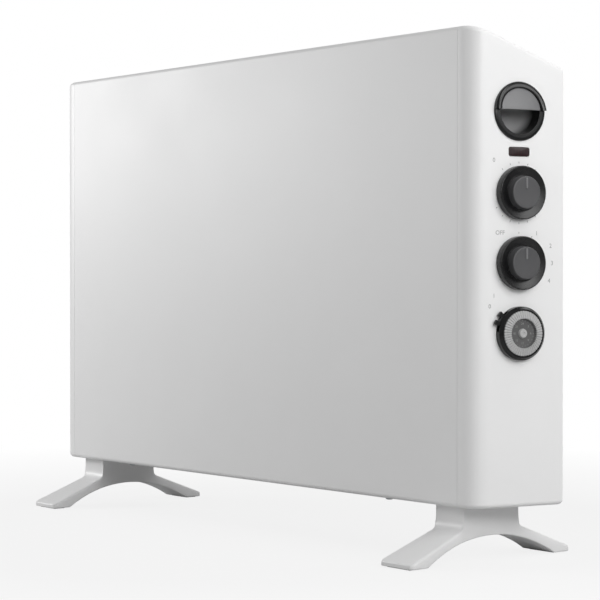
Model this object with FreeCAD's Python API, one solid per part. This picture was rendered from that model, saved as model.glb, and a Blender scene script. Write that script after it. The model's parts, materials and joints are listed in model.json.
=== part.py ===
import FreeCAD, Part
import math
import os

from FreeCAD import Vector

# A slim panel convector heater on two arched feet, in millimetres with +Z up.
# X runs along the heater with the controls on the +X end, and the front faces -Y.
# The origin is on the floor, midway between the two feet.

# Case
CASE_FRONT_WIDTH = 630.0        # along the front, between the corners before they are rounded
CASE_DEPTH = 87.0
CASE_HEIGHT = 401.7             # along the front
TOP_DROP = 34.0                 # the top falls this much from front to back
FLOOR_GAP = 48.5                # floor to the underside of the case
END_ANGLE = 12.0                # degrees that each end face is turned towards the front
FRONT_CORNER_R = 20.0
REAR_CORNER_R = 0.6
BEND_R = 4.0                    # outside of the bends along the top and bottom
SHEET = 1.0
FLANGE = 14.0                   # returns of the front and rear panels, measured from front and rear
LIP = 8.0                       # grille and base plate reach this far under the returns
JOGGLE = 4.0                    # width of the base plate's doubled step
FIT = 0.1                       # between pieces that lie on each other
SEAM_GAP = 0.3                  # between neighbouring edges
OVERRUN = 1.0                   # cuts run this far past the face that they start from
SAME = 1e-6                     # lengths closer than this count as equal

# End caps
CAP_FLAT = 2.8                  # of the front face that belongs to each cap
CAP_WALL = 2.5
COLLAR = 8.0                    # reach of the cap's collar under the panels
COLLAR_JOIN = 2.0               # overlap that ties the collar into the cap
BOSS_R = 4.0
BOSS_LENGTH = 12.0

# Screws
SCREW_R = 1.75
SCREW_HEAD_R = 3.4
SCREW_HEAD = 2.0
SCREW_LENGTH = 9.0
SCREW_HOLE_PLAY = 0.25
PEG_SIDES = 8                   # flats of small screws, wires, bosses and their holes
REAR_SCREW_INSET = 40.0         # highest and lowest rear screw from the edges of the rear panel
BASE_SCREW_X = 200.0            # screws of the underside, from the middle

# Air slots
GRILLE_THICK = 2.5              # of the grille below its flush face
GRILLE_SLOT = 7.0
GRILLE_PITCH = 11.5
GRILLE_END_LAND = 20.0
GRILLE_EDGE = 5.0               # closed border along the grille's long edges
BASE_SLOT = 8.0
BASE_SLOT_PITCH = 20.0
BASE_SLOT_LENGTH = 38.0
BASE_SLOT_REACH = 222.0         # from the middle to the last slot
REAR_SLOT = 6.0
REAR_SLOT_PITCH = 26.0
REAR_SLOT_LENGTH = 46.0
REAR_SLOT_REACH = 212.0
REAR_SLOT_FOOT = 26.0           # from the underside of the case to the lower row
REAR_SLOT_ROW_GAP = 16.0

# Places of the controls, down the middle of the end
HANDLE_DROP = 55.1              # middle of the sloped top to the handle
LAMP_PITCH = 33.6               # handle to pilot lamp
THERMOSTAT_PITCH = 34.2         # pilot lamp to thermostat
CONTROL_PITCH = 58.4            # thermostat to selector, and selector to timer

# Handles
HANDLE_R = 24.6
HANDLE_OPENING_R = 20.0
HANDLE_CUP_WALL = 1.5
HANDLE_DEPTH = 22.0
HANDLE_FLOOR = 2.0
HANDLE_RIM = 2.0                # rim above the end face, below the lip
HANDLE_RIM_EDGE = 0.8           # chamfer round the rim
HANDLE_LIP_OUT = 6.0            # rim above the end face at the ends of the lip
HANDLE_LIP_RISE = 1.0           # lip above the handle's middle
HOOD_RING = 3.4                 # width of the rim beside the hood
HOOD_SINK = 0.7                 # hood below the rim around it
HOOD_THICK = 2.5
HOOD_LIP_R = 1.0
HANDLE_PLAY = 0.3

# Pilot lamp
LAMP_WIDTH = 20.0
LAMP_TALL = 7.6
LAMP_CORNER_R = 1.6
LAMP_PROUD = 1.2
LAMP_EDGE = 0.6                 # chamfer round the lens
LAMP_FLANGE = 2.0
LAMP_FLANGE_THICK = 1.4
LAMP_BODY_LENGTH = 15.0
LAMP_PLAY = 0.2

# Knobs
KNOB_R = 22.5
KNOB_CLEARANCE = 0.6            # between a knob and the end face
KNOB_SKIRT = 7.5                # skirt's height above the end face
KNOB_SKIRT_WALL = 2.0
KNOB_EDGE = 1.0                 # chamfer round the skirt
KNOB_DISH_R = 15.6              # where the dished skirt meets the grip
KNOB_DISH = 1.8                 # depth of the dish
GRIP_R = 14.2
GRIP_TOP = 12.2                 # grip's face above the end face
GRIP_TAPER = 0.6
GRIP_EDGE = 0.8                 # chamfer round the grip's face
POINTER_WIDTH = 1.8
POINTER_RISE = 0.7
POINTER_START = 3.0
KNOB_CAVITY = 4.2               # underside hollow, measured from the end face

# Spindle-mounted controls
SPINDLE_R = 3.0
SPINDLE_FLAT = 2.2              # axis to the flat that drives the knob
SPINDLE_IN = 15.0               # into the control, from the end face
SPINDLE_PLAY = 0.05
SPINDLE_END = 10.5              # outer end above the end face
NECK_R = 4.8
NECK_OUT = 3.6
NECK_PLAY = 0.2
NUT_ACROSS = 14.0
NUT_THICK = 3.0
THERMOSTAT_SIZE = (22.0, 28.0, 24.0)
SELECTOR_R = 17.0
SELECTOR_LENGTH = 18.0
BLADE_WIDTH = 6.3
BLADE_THICK = 0.8
BLADE_LENGTH = 8.0
BLADE_SPREAD = 7.0

# Timer
TIMER_R = 22.4
TIMER_TOP = 7.2                 # bezel above the end face
TIMER_CHAMFER = 2.2
TIMER_WELL_R = 19.4             # inside of the bezel
TIMER_FLOOR = 1.2
TIMER_RAIL_WIDTH = 0.6
TIMER_RAIL_TALL = 1.8
DIAL_PLAY = 0.4
DIAL_UNDER = 4.6
DIAL_FACE = 5.6                 # recessed face above the end face
DIAL_LAND = 6.4                 # land that carries the tabs
DIAL_HUB_R = 4.2
DIAL_HUB_TAPER = 0.8
DIAL_HUB_TOP = 7.6
TAB_COUNT = 48
TAB_INNER_R = 12.2
TAB_TOP = 8.8
TAB_SPACE = 0.35                # between neighbouring tabs at their inner ends
TIMER_SPINDLE_R = 2.5
TIMER_NECK_R = 5.0
TIMER_BODY = (28.0, 40.0, 40.0)
TIMER_SCREW_PLACE = 9.0
TIMER_SCREW_R = 1.25
TIMER_SCREW_HEAD_R = 2.2
TIMER_SCREW_HEAD = 1.2
TIMER_SCREW_LENGTH = 11.0
LEVER_ANGLE = 150.0             # degrees from the rear, turning upwards
LEVER_TRAVEL = 12.0             # degrees each way
LEVER_TIP_R = 27.0
LEVER_HALF_WIDTH = 13.0         # degrees
LEVER_RING_HALF = 32.0          # degrees
LEVER_RING_WIDTH = 2.6
LEVER_LOW = 1.5
LEVER_THICK = 2.8
LEVER_NOTCH = 3.0               # depth of the notch between the tab's two horns
LEVER_NOTCH_HALF = 4.5          # degrees
LEVER_PLAY = 0.3

# Heating element and what carries it
CHASSIS_TO_FOOT = 25.0          # chassis plate to the middle of the foot below it
CHASSIS_SHEET = 1.2
CHASSIS_INSET = 6.0             # chassis plate inside the case
ELEMENT_Y = 6.0
ELEMENT_HEIGHT = 85.0           # above the underside of the case
ELEMENT_CLEAR = 25.0            # element's end to the chassis plate
ELEMENT_CORE_R = 9.0
FIN_R = 28.0
FIN_THICK = 1.8
FIN_PLATES = 5                  # each plate is two opposite fins
ROD_R = 4.0
ROD_PAST = 8.0                  # rods stand past the chassis plates
BUSH_R = 7.0
BUSH_FLANGE_R = 10.0
BUSH_FLANGE = 3.0
SHIELD_GAP = 10.0               # heat shield behind the front panel
SHIELD_SHEET = 0.8
SHIELD_LOW = 24.0               # above the underside of the case
SHIELD_TALL = 300.0
SHIELD_RETURN = 12.0
CUTOUT_R = 8.5
CUTOUT_THICK = 7.0
CUTOUT_X = 70.0
CUTOUT_HEIGHT = 240.0

# Supply
BLOCK_SIZE = (14.0, 36.0, 22.0)
BLOCK_HEIGHT = 24.0             # underside of the block above the underside of the case
GLAND_INSET = 20.0              # from the seam of the end cap
GLAND_HEIGHT = 26.0
GLAND_R = 7.0
GLAND_FLANGE_R = 9.5
GLAND_FLANGE = 3.0
GLAND_INSIDE = 8.0
GLAND_BORE_R = 3.6
WIRE_R = 1.2
WIRE_GAP = 0.6
WIRE_PLACE = 6.4                # along a blade from its root to its wire

# Feet
FOOT_INSET = 21.0               # middle of a foot from the seam of the end cap
FOOT_LENGTH = 188.0
FOOT_TOE_WIDTH = 42.0
NECK_WIDTH = 34.0
NECK_LENGTH = 64.0
NECK_DROP = 19.5                # underside of the case to where the arms leave the neck
NECK_FILLET_R = 9.0
TOE_THICK = 4.0
TOE_FLAT = 20.0
TOE_CORNER_R = 6.0
TOE_NOSE_R = 2.0                # upper edge of a toe
TOE_SOLE_R = 0.8                # lower edge of a toe
NECK_BLEND_R = 64.0             # in plan, where the arms splay out of the neck
ARCH_CROWN = 22.0               # floor to the crown of the arch
PAD_PROUD = 1.0
PAD_THICK = 2.5
PAD_LENGTH = 12.0
PAD_WIDTH = 28.0
PAD_PLAY = 0.1
FOOT_SCREW_SPREAD = 16.0        # from the middle of the foot
FOOT_SCREW_R = 2.0
FOOT_SCREW_HEAD_R = 4.2
FOOT_SCREW_HEAD = 3.0
FOOT_SCREW_BEAR = 8.0           # head to the underside of the case
FOOT_SCREW_PAST = 4.0           # end of the screw past the chassis foot

# Worked out from the sizes above
ORIGIN = Vector(0, 0, 0)
OUTWARD = Vector(1, 0, 0)
UP = Vector(0, 0, 1)
FRONT_Y = -CASE_DEPTH / 2
REAR_Y = CASE_DEPTH / 2
BASE_Z = FLOOR_GAP
TOP_Z = BASE_Z + CASE_HEIGHT
SLOPE = math.atan2(TOP_DROP, CASE_DEPTH)
END_TURN = math.radians(END_ANGLE)
FRONT_CORNER_REACH = FRONT_CORNER_R * math.tan((math.pi / 2 - END_TURN) / 2)
SEAM_X = CASE_FRONT_WIDTH / 2 - FRONT_CORNER_REACH - CAP_FLAT
END_MIDDLE_X = CASE_FRONT_WIDTH / 2 + CASE_DEPTH / 2 * math.tan(END_TURN)
OPEN_Y = CASE_DEPTH / 2 - FLANGE
OPEN_S = OPEN_Y / math.cos(SLOPE)
UNDER_X = SEAM_X - COLLAR - SEAM_GAP
FOOT_X = SEAM_X - FOOT_INSET
GLAND_X = SEAM_X - GLAND_INSET
CHASSIS_X = FOOT_X - CHASSIS_TO_FOOT
ELEMENT_LENGTH = 2 * (CHASSIS_X - ELEMENT_CLEAR)
HANDLE_Z = TOP_Z - TOP_DROP / 2 - HANDLE_DROP
LAMP_Z = HANDLE_Z - LAMP_PITCH
THERMOSTAT_Z = LAMP_Z - THERMOSTAT_PITCH
SELECTOR_Z = THERMOSTAT_Z - CONTROL_PITCH
TIMER_Z = SELECTOR_Z - CONTROL_PITCH
ELEMENT_Z = BASE_Z + ELEMENT_HEIGHT
CHASSIS_FOOT_Y = OPEN_Y - JOGGLE - SEAM_GAP
CHASSIS_FLOOR = BASE_Z + SHEET


# Drawing helpers

def box(x_low, x_high, y_low, y_high, z_low, z_high):
    """Block between two corners."""
    return Part.makeBox(x_high - x_low, y_high - y_low, z_high - z_low, Vector(x_low, y_low, z_low))


def rod(radius, start, end):
    """Round bar between two points."""
    return Part.makeCylinder(radius, (end - start).Length, start, end - start)


def peg(radius, start, end):
    """Bar with a few flats in place of a round one, for small pieces that repeat and their holes."""
    along = end - start
    across = along.cross(OUTWARD if abs(along.z) > abs(along.x) else UP).normalize() * radius
    turn = FreeCAD.Rotation(along, 360.0 / PEG_SIDES)
    corners = [across]
    while len(corners) < PEG_SIDES:
        corners.append(turn.multVec(corners[-1]))
    return prism([start + corner for corner in corners], along)


def drawn_in(radius, inset):
    """Radius of a corner after its outline is drawn in, sharp at the least."""
    return max(radius - inset, 0.0)


def corner_bends(points, radii):
    """Start, middle and end of the tangent arc at each corner of a closed outline."""
    bends = []
    for index, corner in enumerate(points):
        before = (points[index - 1] - corner).normalize()
        after = (points[(index + 1) % len(points)] - corner).normalize()
        half = before.getAngle(after) / 2
        reach = radii[index] / math.tan(half)
        sag = radii[index] / math.sin(half) - radii[index]
        middle = corner + (before + after).normalize() * sag
        bends.append((corner + before * reach, middle, corner + after * reach))
    return bends


def outline(points, radii):
    """Closed wire of straight runs, with an arc of its own radius at each corner."""
    bends = corner_bends(points, radii)
    edges = []
    for index, (start, middle, end) in enumerate(bends):
        if radii[index] > 0:
            edges.append(Part.Arc(start, middle, end).toShape())
        following = bends[(index + 1) % len(bends)][0]
        if end.distanceToPoint(following) > SAME:
            edges.append(Part.makeLine(end, following))
    return Part.Wire(edges)


def prism(points, sweep, radii=None):
    """Outline filled and carried along a straight sweep, with sharp corners unless radii are given."""
    return Part.Face(outline(points, radii or [0] * len(points))).extrude(sweep)


def turned(profile, radii=None):
    """Profile of (distance along X, radius) corners, sharp unless radii are given, turned about X."""
    points = [Vector(along, radius, 0) for along, radius in profile]
    return Part.Face(outline(points, radii or [0] * len(points))).revolve(ORIGIN, OUTWARD, 360)


def joined(pieces):
    """One solid from pieces that overlap."""
    return pieces[0].multiFuse(pieces[1:]).removeSplitter()


def sector(radius, middle, half_width, low, high):
    """Wedge about the X axis, from its centre line and half its angle in degrees."""
    start = math.radians(middle - half_width)
    end = math.radians(middle + half_width)
    centre = math.radians(middle)

    def rim(angle):
        return Vector(low, radius * math.cos(angle), radius * math.sin(angle))

    hub = Vector(low, 0, 0)
    edges = [
        Part.makeLine(hub, rim(start)),
        Part.Arc(rim(start), rim(centre), rim(end)).toShape(),
        Part.makeLine(rim(end), hub),
    ]
    return Part.Face(Part.Wire(edges)).extrude(OUTWARD * (high - low))


def on_right_end(shape, height):
    """Seat a piece, drawn outwards along X, on the middle line of the right end face."""
    placed = shape.copy()
    placed.rotate(ORIGIN, UP, -END_ANGLE)
    placed.translate(Vector(END_MIDDLE_X, 0, height))
    return placed


def mirrored(shape):
    """The same piece for the left end."""
    return shape.mirror(ORIGIN, OUTWARD)


def end_point(out, back, height):
    """Point given by its distance out of the right end face and back along it."""
    x = END_MIDDLE_X + out * math.cos(END_TURN) + back * math.sin(END_TURN)
    y = back * math.cos(END_TURN) - out * math.sin(END_TURN)
    return Vector(x, y, height)


def on_slope(shape):
    """Seat a piece, drawn flat with its top at zero, on the sloped top of the case."""
    placed = shape.copy()
    placed.rotate(ORIGIN, OUTWARD, -math.degrees(SLOPE))
    placed.translate(Vector(0, 0, TOP_Z - TOP_DROP / 2))
    return placed


def top_at(y, inset):
    """Height of the sloped top, drawn in by inset."""
    return TOP_Z - TOP_DROP * (y - FRONT_Y) / CASE_DEPTH - inset / math.cos(SLOPE)


def screw(seat, direction, radius, length, head_r, head):
    """Pan-head screw whose head rests at seat and whose shank runs along direction."""
    shank = peg(radius, seat, seat + direction * length)
    cap = peg(head_r, seat - direction * head, seat)
    return joined([cap, shank])


# Case shells

def side_section(inset):
    """Corners of the case's side section, drawn in by inset, front foot first."""
    front = FRONT_Y + inset
    rear = REAR_Y - inset
    low = BASE_Z + inset
    return [(front, low), (rear, low), (rear, top_at(rear, inset)), (front, top_at(front, inset))]


def case_prism(inset, x_low, x_high):
    """The case's section, drawn in by inset, carried along X."""
    points = [Vector(x_low, y, z) for y, z in side_section(inset)]
    return prism(points, OUTWARD * (x_high - x_low), [drawn_in(BEND_R, inset)] * len(points))


def panel_openings():
    """Spaces in the top and underside that the grille and the base plate fill."""
    long = CASE_FRONT_WIDTH
    deep = BEND_R + SHEET
    top = on_slope(box(-long, long, -OPEN_S, OPEN_S, -deep, deep))
    under = box(-long, long, -OPEN_Y, OPEN_Y, BASE_Z - deep, BASE_Z + deep)
    return [top, under]


def half_shell(wall_y):
    """Bent sheet of the front or the rear, with its returns along the top and underside."""
    reach = SEAM_X - SEAM_GAP
    skin = case_prism(0, -reach, reach).cut(case_prism(SHEET, -reach, reach))
    kept = box(-reach, reach, *sorted((0, wall_y)), 0, 2 * TOP_Z)
    return skin.common(kept).cut(panel_openings())


def base_screw_points():
    """Where the screws of the underside enter the returns of both panels."""
    middle = OPEN_Y + LIP / 2
    return [Vector(x, y, BASE_Z) for x in (-BASE_SCREW_X, BASE_SCREW_X) for y in (-middle, middle)]


def rear_screw_points():
    """Where the screws of the rear panel enter, two at each end."""
    low = BASE_Z + REAR_SCREW_INSET
    high = TOP_Z - TOP_DROP - REAR_SCREW_INSET
    across = SEAM_X - COLLAR / 2
    return [Vector(x, REAR_Y, z) for x in (-across, across) for z in (low, high)]


def base_screw_holes():
    """Clearance holes along the screws of the underside."""
    deep = UP * (SCREW_LENGTH + SHEET)
    radius = SCREW_R + SCREW_HOLE_PLAY
    return [peg(radius, point - UP * OVERRUN, point + deep) for point in base_screw_points()]


def slot_places(reach, pitch):
    """Evenly spaced places on both sides of the middle, within reach."""
    count = int(reach / pitch)
    return [index * pitch for index in range(-count, count + 1)]


def front_panel():
    """Plain bent sheet of the front."""
    return half_shell(FRONT_Y).cut(base_screw_holes())


def rear_panel():
    """Bent sheet of the rear with two rows of air slots, screw holes and the lead's hole."""
    cuts = base_screw_holes()
    for x in slot_places(REAR_SLOT_REACH, REAR_SLOT_PITCH):
        for row in range(2):
            low = BASE_Z + REAR_SLOT_FOOT + row * (REAR_SLOT_LENGTH + REAR_SLOT_ROW_GAP)
            cuts.append(box(x - REAR_SLOT / 2, x + REAR_SLOT / 2, REAR_Y - 2 * SHEET, REAR_Y + SHEET,
                            low, low + REAR_SLOT_LENGTH))
    across = Vector(0, 2 * SHEET, 0)
    for point in rear_screw_points():
        cuts.append(peg(SCREW_R + SCREW_HOLE_PLAY, point - across, point + across))
    gland = Vector(GLAND_X, REAR_Y, BASE_Z + GLAND_HEIGHT)
    cuts.append(rod(GLAND_R + FIT, gland - across, gland + across))
    return half_shell(REAR_Y).cut(cuts)


def base_plate():
    """Inlet plate: flush middle, and joggled edges that lie on the returns of both panels."""
    flush = OPEN_Y - SEAM_GAP
    upper = BASE_Z + SHEET + FIT
    pieces = [box(-SEAM_X + SEAM_GAP, SEAM_X - SEAM_GAP, -flush, flush, BASE_Z, BASE_Z + SHEET)]
    for side in (-1, 1):
        step = sorted((side * (OPEN_Y - JOGGLE), side * flush))
        lip = sorted((side * (OPEN_Y - JOGGLE), side * (OPEN_Y + LIP)))
        pieces.append(box(-UNDER_X, UNDER_X, *step, BASE_Z, upper + SHEET))
        pieces.append(box(-UNDER_X, UNDER_X, *lip, upper, upper + SHEET))
    plate = joined(pieces)
    cuts = base_screw_holes()
    half_length = BASE_SLOT_LENGTH / 2
    half_width = BASE_SLOT / 2
    for x in slot_places(BASE_SLOT_REACH, BASE_SLOT_PITCH):
        cuts.append(box(x - half_width, x + half_width, -half_length, half_length,
                        BASE_Z - SHEET, BASE_Z + 2 * SHEET))
    for point in foot_screw_points():
        cuts.append(peg(FOOT_SCREW_R + SCREW_HOLE_PLAY, point - UP * OVERRUN, point + UP * 2 * SHEET))
    return plate.cut(cuts)


def top_grille():
    """Outlet grille on the slope: flush bars, and edges that lie under the panels' returns."""
    flush = OPEN_S - SEAM_GAP
    under = -SHEET - FIT - GRILLE_THICK
    pieces = [
        box(-SEAM_X + SEAM_GAP, SEAM_X - SEAM_GAP, -flush, flush, -SHEET, 0),
        box(-UNDER_X, UNDER_X, -flush, flush, under, -SHEET),
        box(-UNDER_X, UNDER_X, -OPEN_S - LIP, OPEN_S + LIP, under, -SHEET - FIT),
    ]
    half_length = flush - GRILLE_EDGE
    half_width = GRILLE_SLOT / 2
    slots = [box(x - half_width, x + half_width, -half_length, half_length, 2 * under, SHEET)
             for x in slot_places(UNDER_X - GRILLE_END_LAND, GRILLE_PITCH)]
    return on_slope(joined(pieces).cut(slots))


# End caps

def end_plan(inset, x_inner):
    """Right end in plan, drawn in by inset: its corners and their radii."""
    front = FRONT_Y + inset
    rear = REAR_Y - inset

    def end_x(y):
        return CASE_FRONT_WIDTH / 2 + ((y - FRONT_Y) * math.sin(END_TURN) - inset) / math.cos(END_TURN)

    corners = [(x_inner, front), (end_x(front), front), (end_x(rear), rear), (x_inner, rear)]
    return corners, [0, drawn_in(FRONT_CORNER_R, inset), 0, 0]


def end_block(inset, x_inner):
    """Right end of the case as a block, sharp along its top and bottom edges."""
    corners, radii = end_plan(inset, x_inner)
    plan = prism([Vector(x, y, 0) for x, y in corners], UP * 2 * TOP_Z, radii)
    front = FRONT_Y - CASE_DEPTH
    rear = REAR_Y + CASE_DEPTH
    low = BASE_Z + inset
    section = [(front, low), (rear, low), (rear, top_at(rear, inset)), (front, top_at(front, inset))]
    limits = prism([Vector(0, y, z) for y, z in section], OUTWARD * 2 * CASE_FRONT_WIDTH)
    return plan.common(limits)


def rounded_end():
    """Right end of the case: top and bottom edges rounded like the panels' bends, then the rear corner."""
    block = end_block(0, SEAM_X)

    def on_rim(edge):
        at_seam = all(abs(vertex.X - SEAM_X) < SAME for vertex in edge.Vertexes)
        on_top = all(abs(vertex.Z - top_at(vertex.Y, 0)) < SAME for vertex in edge.Vertexes)
        on_base = all(abs(vertex.Z - BASE_Z) < SAME for vertex in edge.Vertexes)
        return (on_top or on_base) and not at_seam

    def at_rear_corner(edge):
        upright = edge.BoundBox.ZLength > CASE_HEIGHT / 2
        past_seam = all(vertex.X > SEAM_X + SAME for vertex in edge.Vertexes)
        return upright and past_seam and all(abs(vertex.Y - REAR_Y) < SAME for vertex in edge.Vertexes)

    bent = block.makeFillet(BEND_R, [edge for edge in block.Edges if on_rim(edge)])
    return bent.makeFillet(REAR_CORNER_R, [edge for edge in bent.Edges if at_rear_corner(edge)])


def end_shell():
    """Moulded end with its collar and screw bosses, and the hole for the handle."""
    collar_low = SEAM_X - COLLAR
    collar_high = SEAM_X + COLLAR_JOIN
    shell = rounded_end().cut(end_block(CAP_WALL, collar_low))
    collar = case_prism(SHEET + FIT, collar_low, collar_high)
    pieces = [shell, collar.cut(case_prism(CAP_WALL, collar_low, collar_high))]
    handle_r = HANDLE_OPENING_R + HANDLE_CUP_WALL + HANDLE_PLAY
    holes = [on_right_end(rod(handle_r, -OUTWARD * 2 * CAP_WALL, OUTWARD * CAP_WALL), HANDLE_Z)]
    for point in rear_screw_points():
        if point.x > 0:
            root = Vector(point.x, REAR_Y - CAP_WALL + FIT, point.z)
            pieces.append(peg(BOSS_R, root, root - Vector(0, BOSS_LENGTH, 0)))
            holes.append(peg(SCREW_R + FIT, point, root - Vector(0, 2 * BOSS_LENGTH, 0)))
    return joined(pieces).cut(holes)


def lamp_outline(grow, out_low, out_high):
    """Rounded rectangle of the lamp window, widened all round by grow."""
    half_w = LAMP_WIDTH / 2 + grow
    half_t = LAMP_TALL / 2 + grow
    points = [Vector(out_low, y, z) for y, z in
              ((-half_w, -half_t), (half_w, -half_t), (half_w, half_t), (-half_w, half_t))]
    return prism(points, OUTWARD * (out_high - out_low), [LAMP_CORNER_R + grow] * len(points))


def timer_screw_places():
    """The timer's two screws, in front of and behind its spindle."""
    return [Vector(0, y, 0) for y in (-TIMER_SCREW_PLACE, TIMER_SCREW_PLACE)]


def right_end_cap():
    """Moulded end with the openings for the lamp and the three controls."""
    past = OUTWARD * CAP_WALL
    through = -past * 2
    holes = [on_right_end(lamp_outline(LAMP_PLAY, through.x, past.x), LAMP_Z)]
    for height in (THERMOSTAT_Z, SELECTOR_Z):
        holes.append(on_right_end(rod(NECK_R + NECK_PLAY, through, past), height))
    holes.append(on_right_end(rod(TIMER_NECK_R + NECK_PLAY, through, past), TIMER_Z))
    screw_r = TIMER_SCREW_R + SCREW_HOLE_PLAY
    for place in timer_screw_places():
        holes.append(on_right_end(peg(screw_r, place + through, place + past), TIMER_Z))
    return end_shell().cut(holes)


# Handles

def rim_plane_cut(sink):
    """Everything outside the sloped face of a handle's upper half, sunk by sink."""
    top = HANDLE_R
    low = HANDLE_LIP_RISE
    tall = 2 * HANDLE_R
    tilt = (HANDLE_LIP_OUT - HANDLE_RIM) / (top - low)

    def out(z):
        return HANDLE_RIM - sink + (top - z) * tilt

    points = [(out(tall), tall), (out(-tall), -tall), (tall, -tall), (tall, tall)]
    return prism([Vector(x, -tall, z) for x, z in points], Vector(0, 2 * tall, 0))


def handle_cup():
    """Finger cup with its rim, which swells towards the lip over the upper half."""
    cup_r = HANDLE_OPENING_R + HANDLE_CUP_WALL
    floor = -HANDLE_DEPTH - HANDLE_FLOOR
    cup = turned(
        [(floor, 0), (floor, cup_r), (0, cup_r), (0, HANDLE_R), (HANDLE_RIM - HANDLE_RIM_EDGE, HANDLE_R),
         (HANDLE_RIM, HANDLE_R - HANDLE_RIM_EDGE), (HANDLE_RIM, HANDLE_OPENING_R),
         (-HANDLE_DEPTH, HANDLE_OPENING_R), (-HANDLE_DEPTH, 0)])
    reach = OUTWARD * HANDLE_LIP_OUT
    ring = rod(HANDLE_R, ORIGIN, reach).cut(rod(HANDLE_R - HOOD_RING, ORIGIN, reach))
    upper = box(0, HANDLE_LIP_OUT, -HANDLE_R, HANDLE_R, HANDLE_LIP_RISE, HANDLE_R)
    swell = ring.common(upper).cut(rim_plane_cut(0))
    return joined([cup, swell])


def handle_hood():
    """Sloped hood over the upper half of the cup, ending in a straight lip."""
    radius = HANDLE_R - HOOD_RING - HANDLE_PLAY
    reach = OUTWARD * 2 * HANDLE_LIP_OUT
    disc = rod(radius, -reach, reach)
    upper = box(-reach.x, reach.x, -radius, radius, HANDLE_LIP_RISE, radius)
    slab = disc.common(upper).cut(rim_plane_cut(HOOD_SINK)).common(rim_plane_cut(HOOD_SINK + HOOD_THICK))
    ledge = rod(radius + HANDLE_R, -reach, OUTWARD * (HANDLE_RIM + HANDLE_PLAY))
    hood = slab.cut(ledge.cut(rod(HANDLE_OPENING_R - HANDLE_PLAY, -reach, reach)))
    low_edges = [edge for edge in hood.Edges if abs(edge.BoundBox.ZMax - HANDLE_LIP_RISE) < SAME]
    return hood.makeFillet(HOOD_LIP_R, [edge for edge in low_edges if edge.Length > radius])


# Pilot lamp

def pilot_lamp_lens():
    """Clear red lens with a flange behind the end wall."""
    window = lamp_outline(0, -CAP_WALL, LAMP_PROUD)
    window = window.makeChamfer(LAMP_EDGE, [edge for edge in window.Edges if edge.BoundBox.XMin > 0])
    flange = lamp_outline(LAMP_FLANGE, -CAP_WALL - FIT - LAMP_FLANGE_THICK, -CAP_WALL - FIT)
    root = lamp_outline(0, -CAP_WALL - FIT, -CAP_WALL)
    return joined([window, root, flange])


def blades(back, places):
    """Flat push-on terminals that stand behind a control, at (back along the end, up) places."""
    half_w = BLADE_WIDTH / 2
    half_t = BLADE_THICK / 2
    return [box(back - BLADE_LENGTH, back, y - half_t, y + half_t, z - half_w, z + half_w) for y, z in places]


def pilot_lamp_body():
    """Lamp holder behind the lens."""
    front = -CAP_WALL - 2 * FIT - LAMP_FLANGE_THICK
    holder = lamp_outline(LAMP_FLANGE / 2, front - LAMP_BODY_LENGTH, front)
    return joined([holder] + blades(front - LAMP_BODY_LENGTH + FIT, [(-BLADE_SPREAD, 0), (BLADE_SPREAD, 0)]))


# Thermostat and selector

def spindle():
    """Control spindle with a flat for the knob."""
    bar = rod(SPINDLE_R, -OUTWARD * SPINDLE_IN, OUTWARD * SPINDLE_END)
    flat = box(KNOB_CAVITY, SPINDLE_END, -SPINDLE_R, SPINDLE_R, SPINDLE_FLAT, SPINDLE_R)
    return bar.cut(flat)


def spindle_bore(end):
    """Bore for the driven end of the spindle."""
    bore = rod(SPINDLE_R + SPINDLE_PLAY, ORIGIN, OUTWARD * end)
    keep = box(KNOB_CAVITY, end, -2 * SPINDLE_R, 2 * SPINDLE_R, SPINDLE_FLAT + SPINDLE_PLAY, 2 * SPINDLE_R)
    return bore.cut(keep)


def knob():
    """Knob with a dished skirt, a tapered grip, a raised pointer and a hollow underside."""
    skirt_low = KNOB_SKIRT - KNOB_DISH
    face_r = GRIP_R - GRIP_TAPER - GRIP_EDGE
    body = turned(
        [(KNOB_CLEARANCE, 0), (KNOB_CLEARANCE, KNOB_R), (KNOB_SKIRT - KNOB_EDGE, KNOB_R),
         (KNOB_SKIRT, KNOB_R - KNOB_EDGE), (skirt_low, KNOB_DISH_R), (skirt_low, GRIP_R),
         (GRIP_TOP - GRIP_EDGE, GRIP_R - GRIP_TAPER), (GRIP_TOP, face_r), (GRIP_TOP, 0)])
    hollow_r = KNOB_R - KNOB_SKIRT_WALL
    hollow = turned([(0, 0), (0, hollow_r), (KNOB_CAVITY, hollow_r - KNOB_SKIRT_WALL), (KNOB_CAVITY, 0)])
    pointer = box(GRIP_TOP - POINTER_RISE, GRIP_TOP + POINTER_RISE, -POINTER_WIDTH / 2, POINTER_WIDTH / 2,
                  POINTER_START, face_r)
    return joined([body.cut(hollow), pointer]).cut(spindle_bore(SPINDLE_END))


def control_neck():
    """Threaded neck that passes through the end wall."""
    return rod(NECK_R, -OUTWARD * 2 * CAP_WALL, OUTWARD * NECK_OUT)


def control_bore():
    """Running bore for a spindle, closed at its inner end."""
    return rod(SPINDLE_R + SPINDLE_PLAY, -OUTWARD * (SPINDLE_IN + FIT), OUTWARD * 2 * NECK_OUT)


def thermostat_body():
    """Thermostat behind the end wall, with its neck and two blades."""
    deep, wide, tall = THERMOSTAT_SIZE
    front = -CAP_WALL - FIT
    case = box(front - deep, front, -wide / 2, wide / 2, -tall / 2, tall / 2)
    tabs = blades(front - deep + FIT, [(-BLADE_SPREAD, 0), (BLADE_SPREAD, 0)])
    return joined([case, control_neck()] + tabs).cut(control_bore())


def selector_body():
    """Rotary switch behind the end wall, with its neck and blades."""
    front = -CAP_WALL - FIT
    case = rod(SELECTOR_R, OUTWARD * (front - SELECTOR_LENGTH), OUTWARD * front)
    tabs = blades(front - SELECTOR_LENGTH + FIT, [(-BLADE_SPREAD, 0), (BLADE_SPREAD, 0)])
    return joined([case, control_neck()] + tabs).cut(control_bore())


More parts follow.
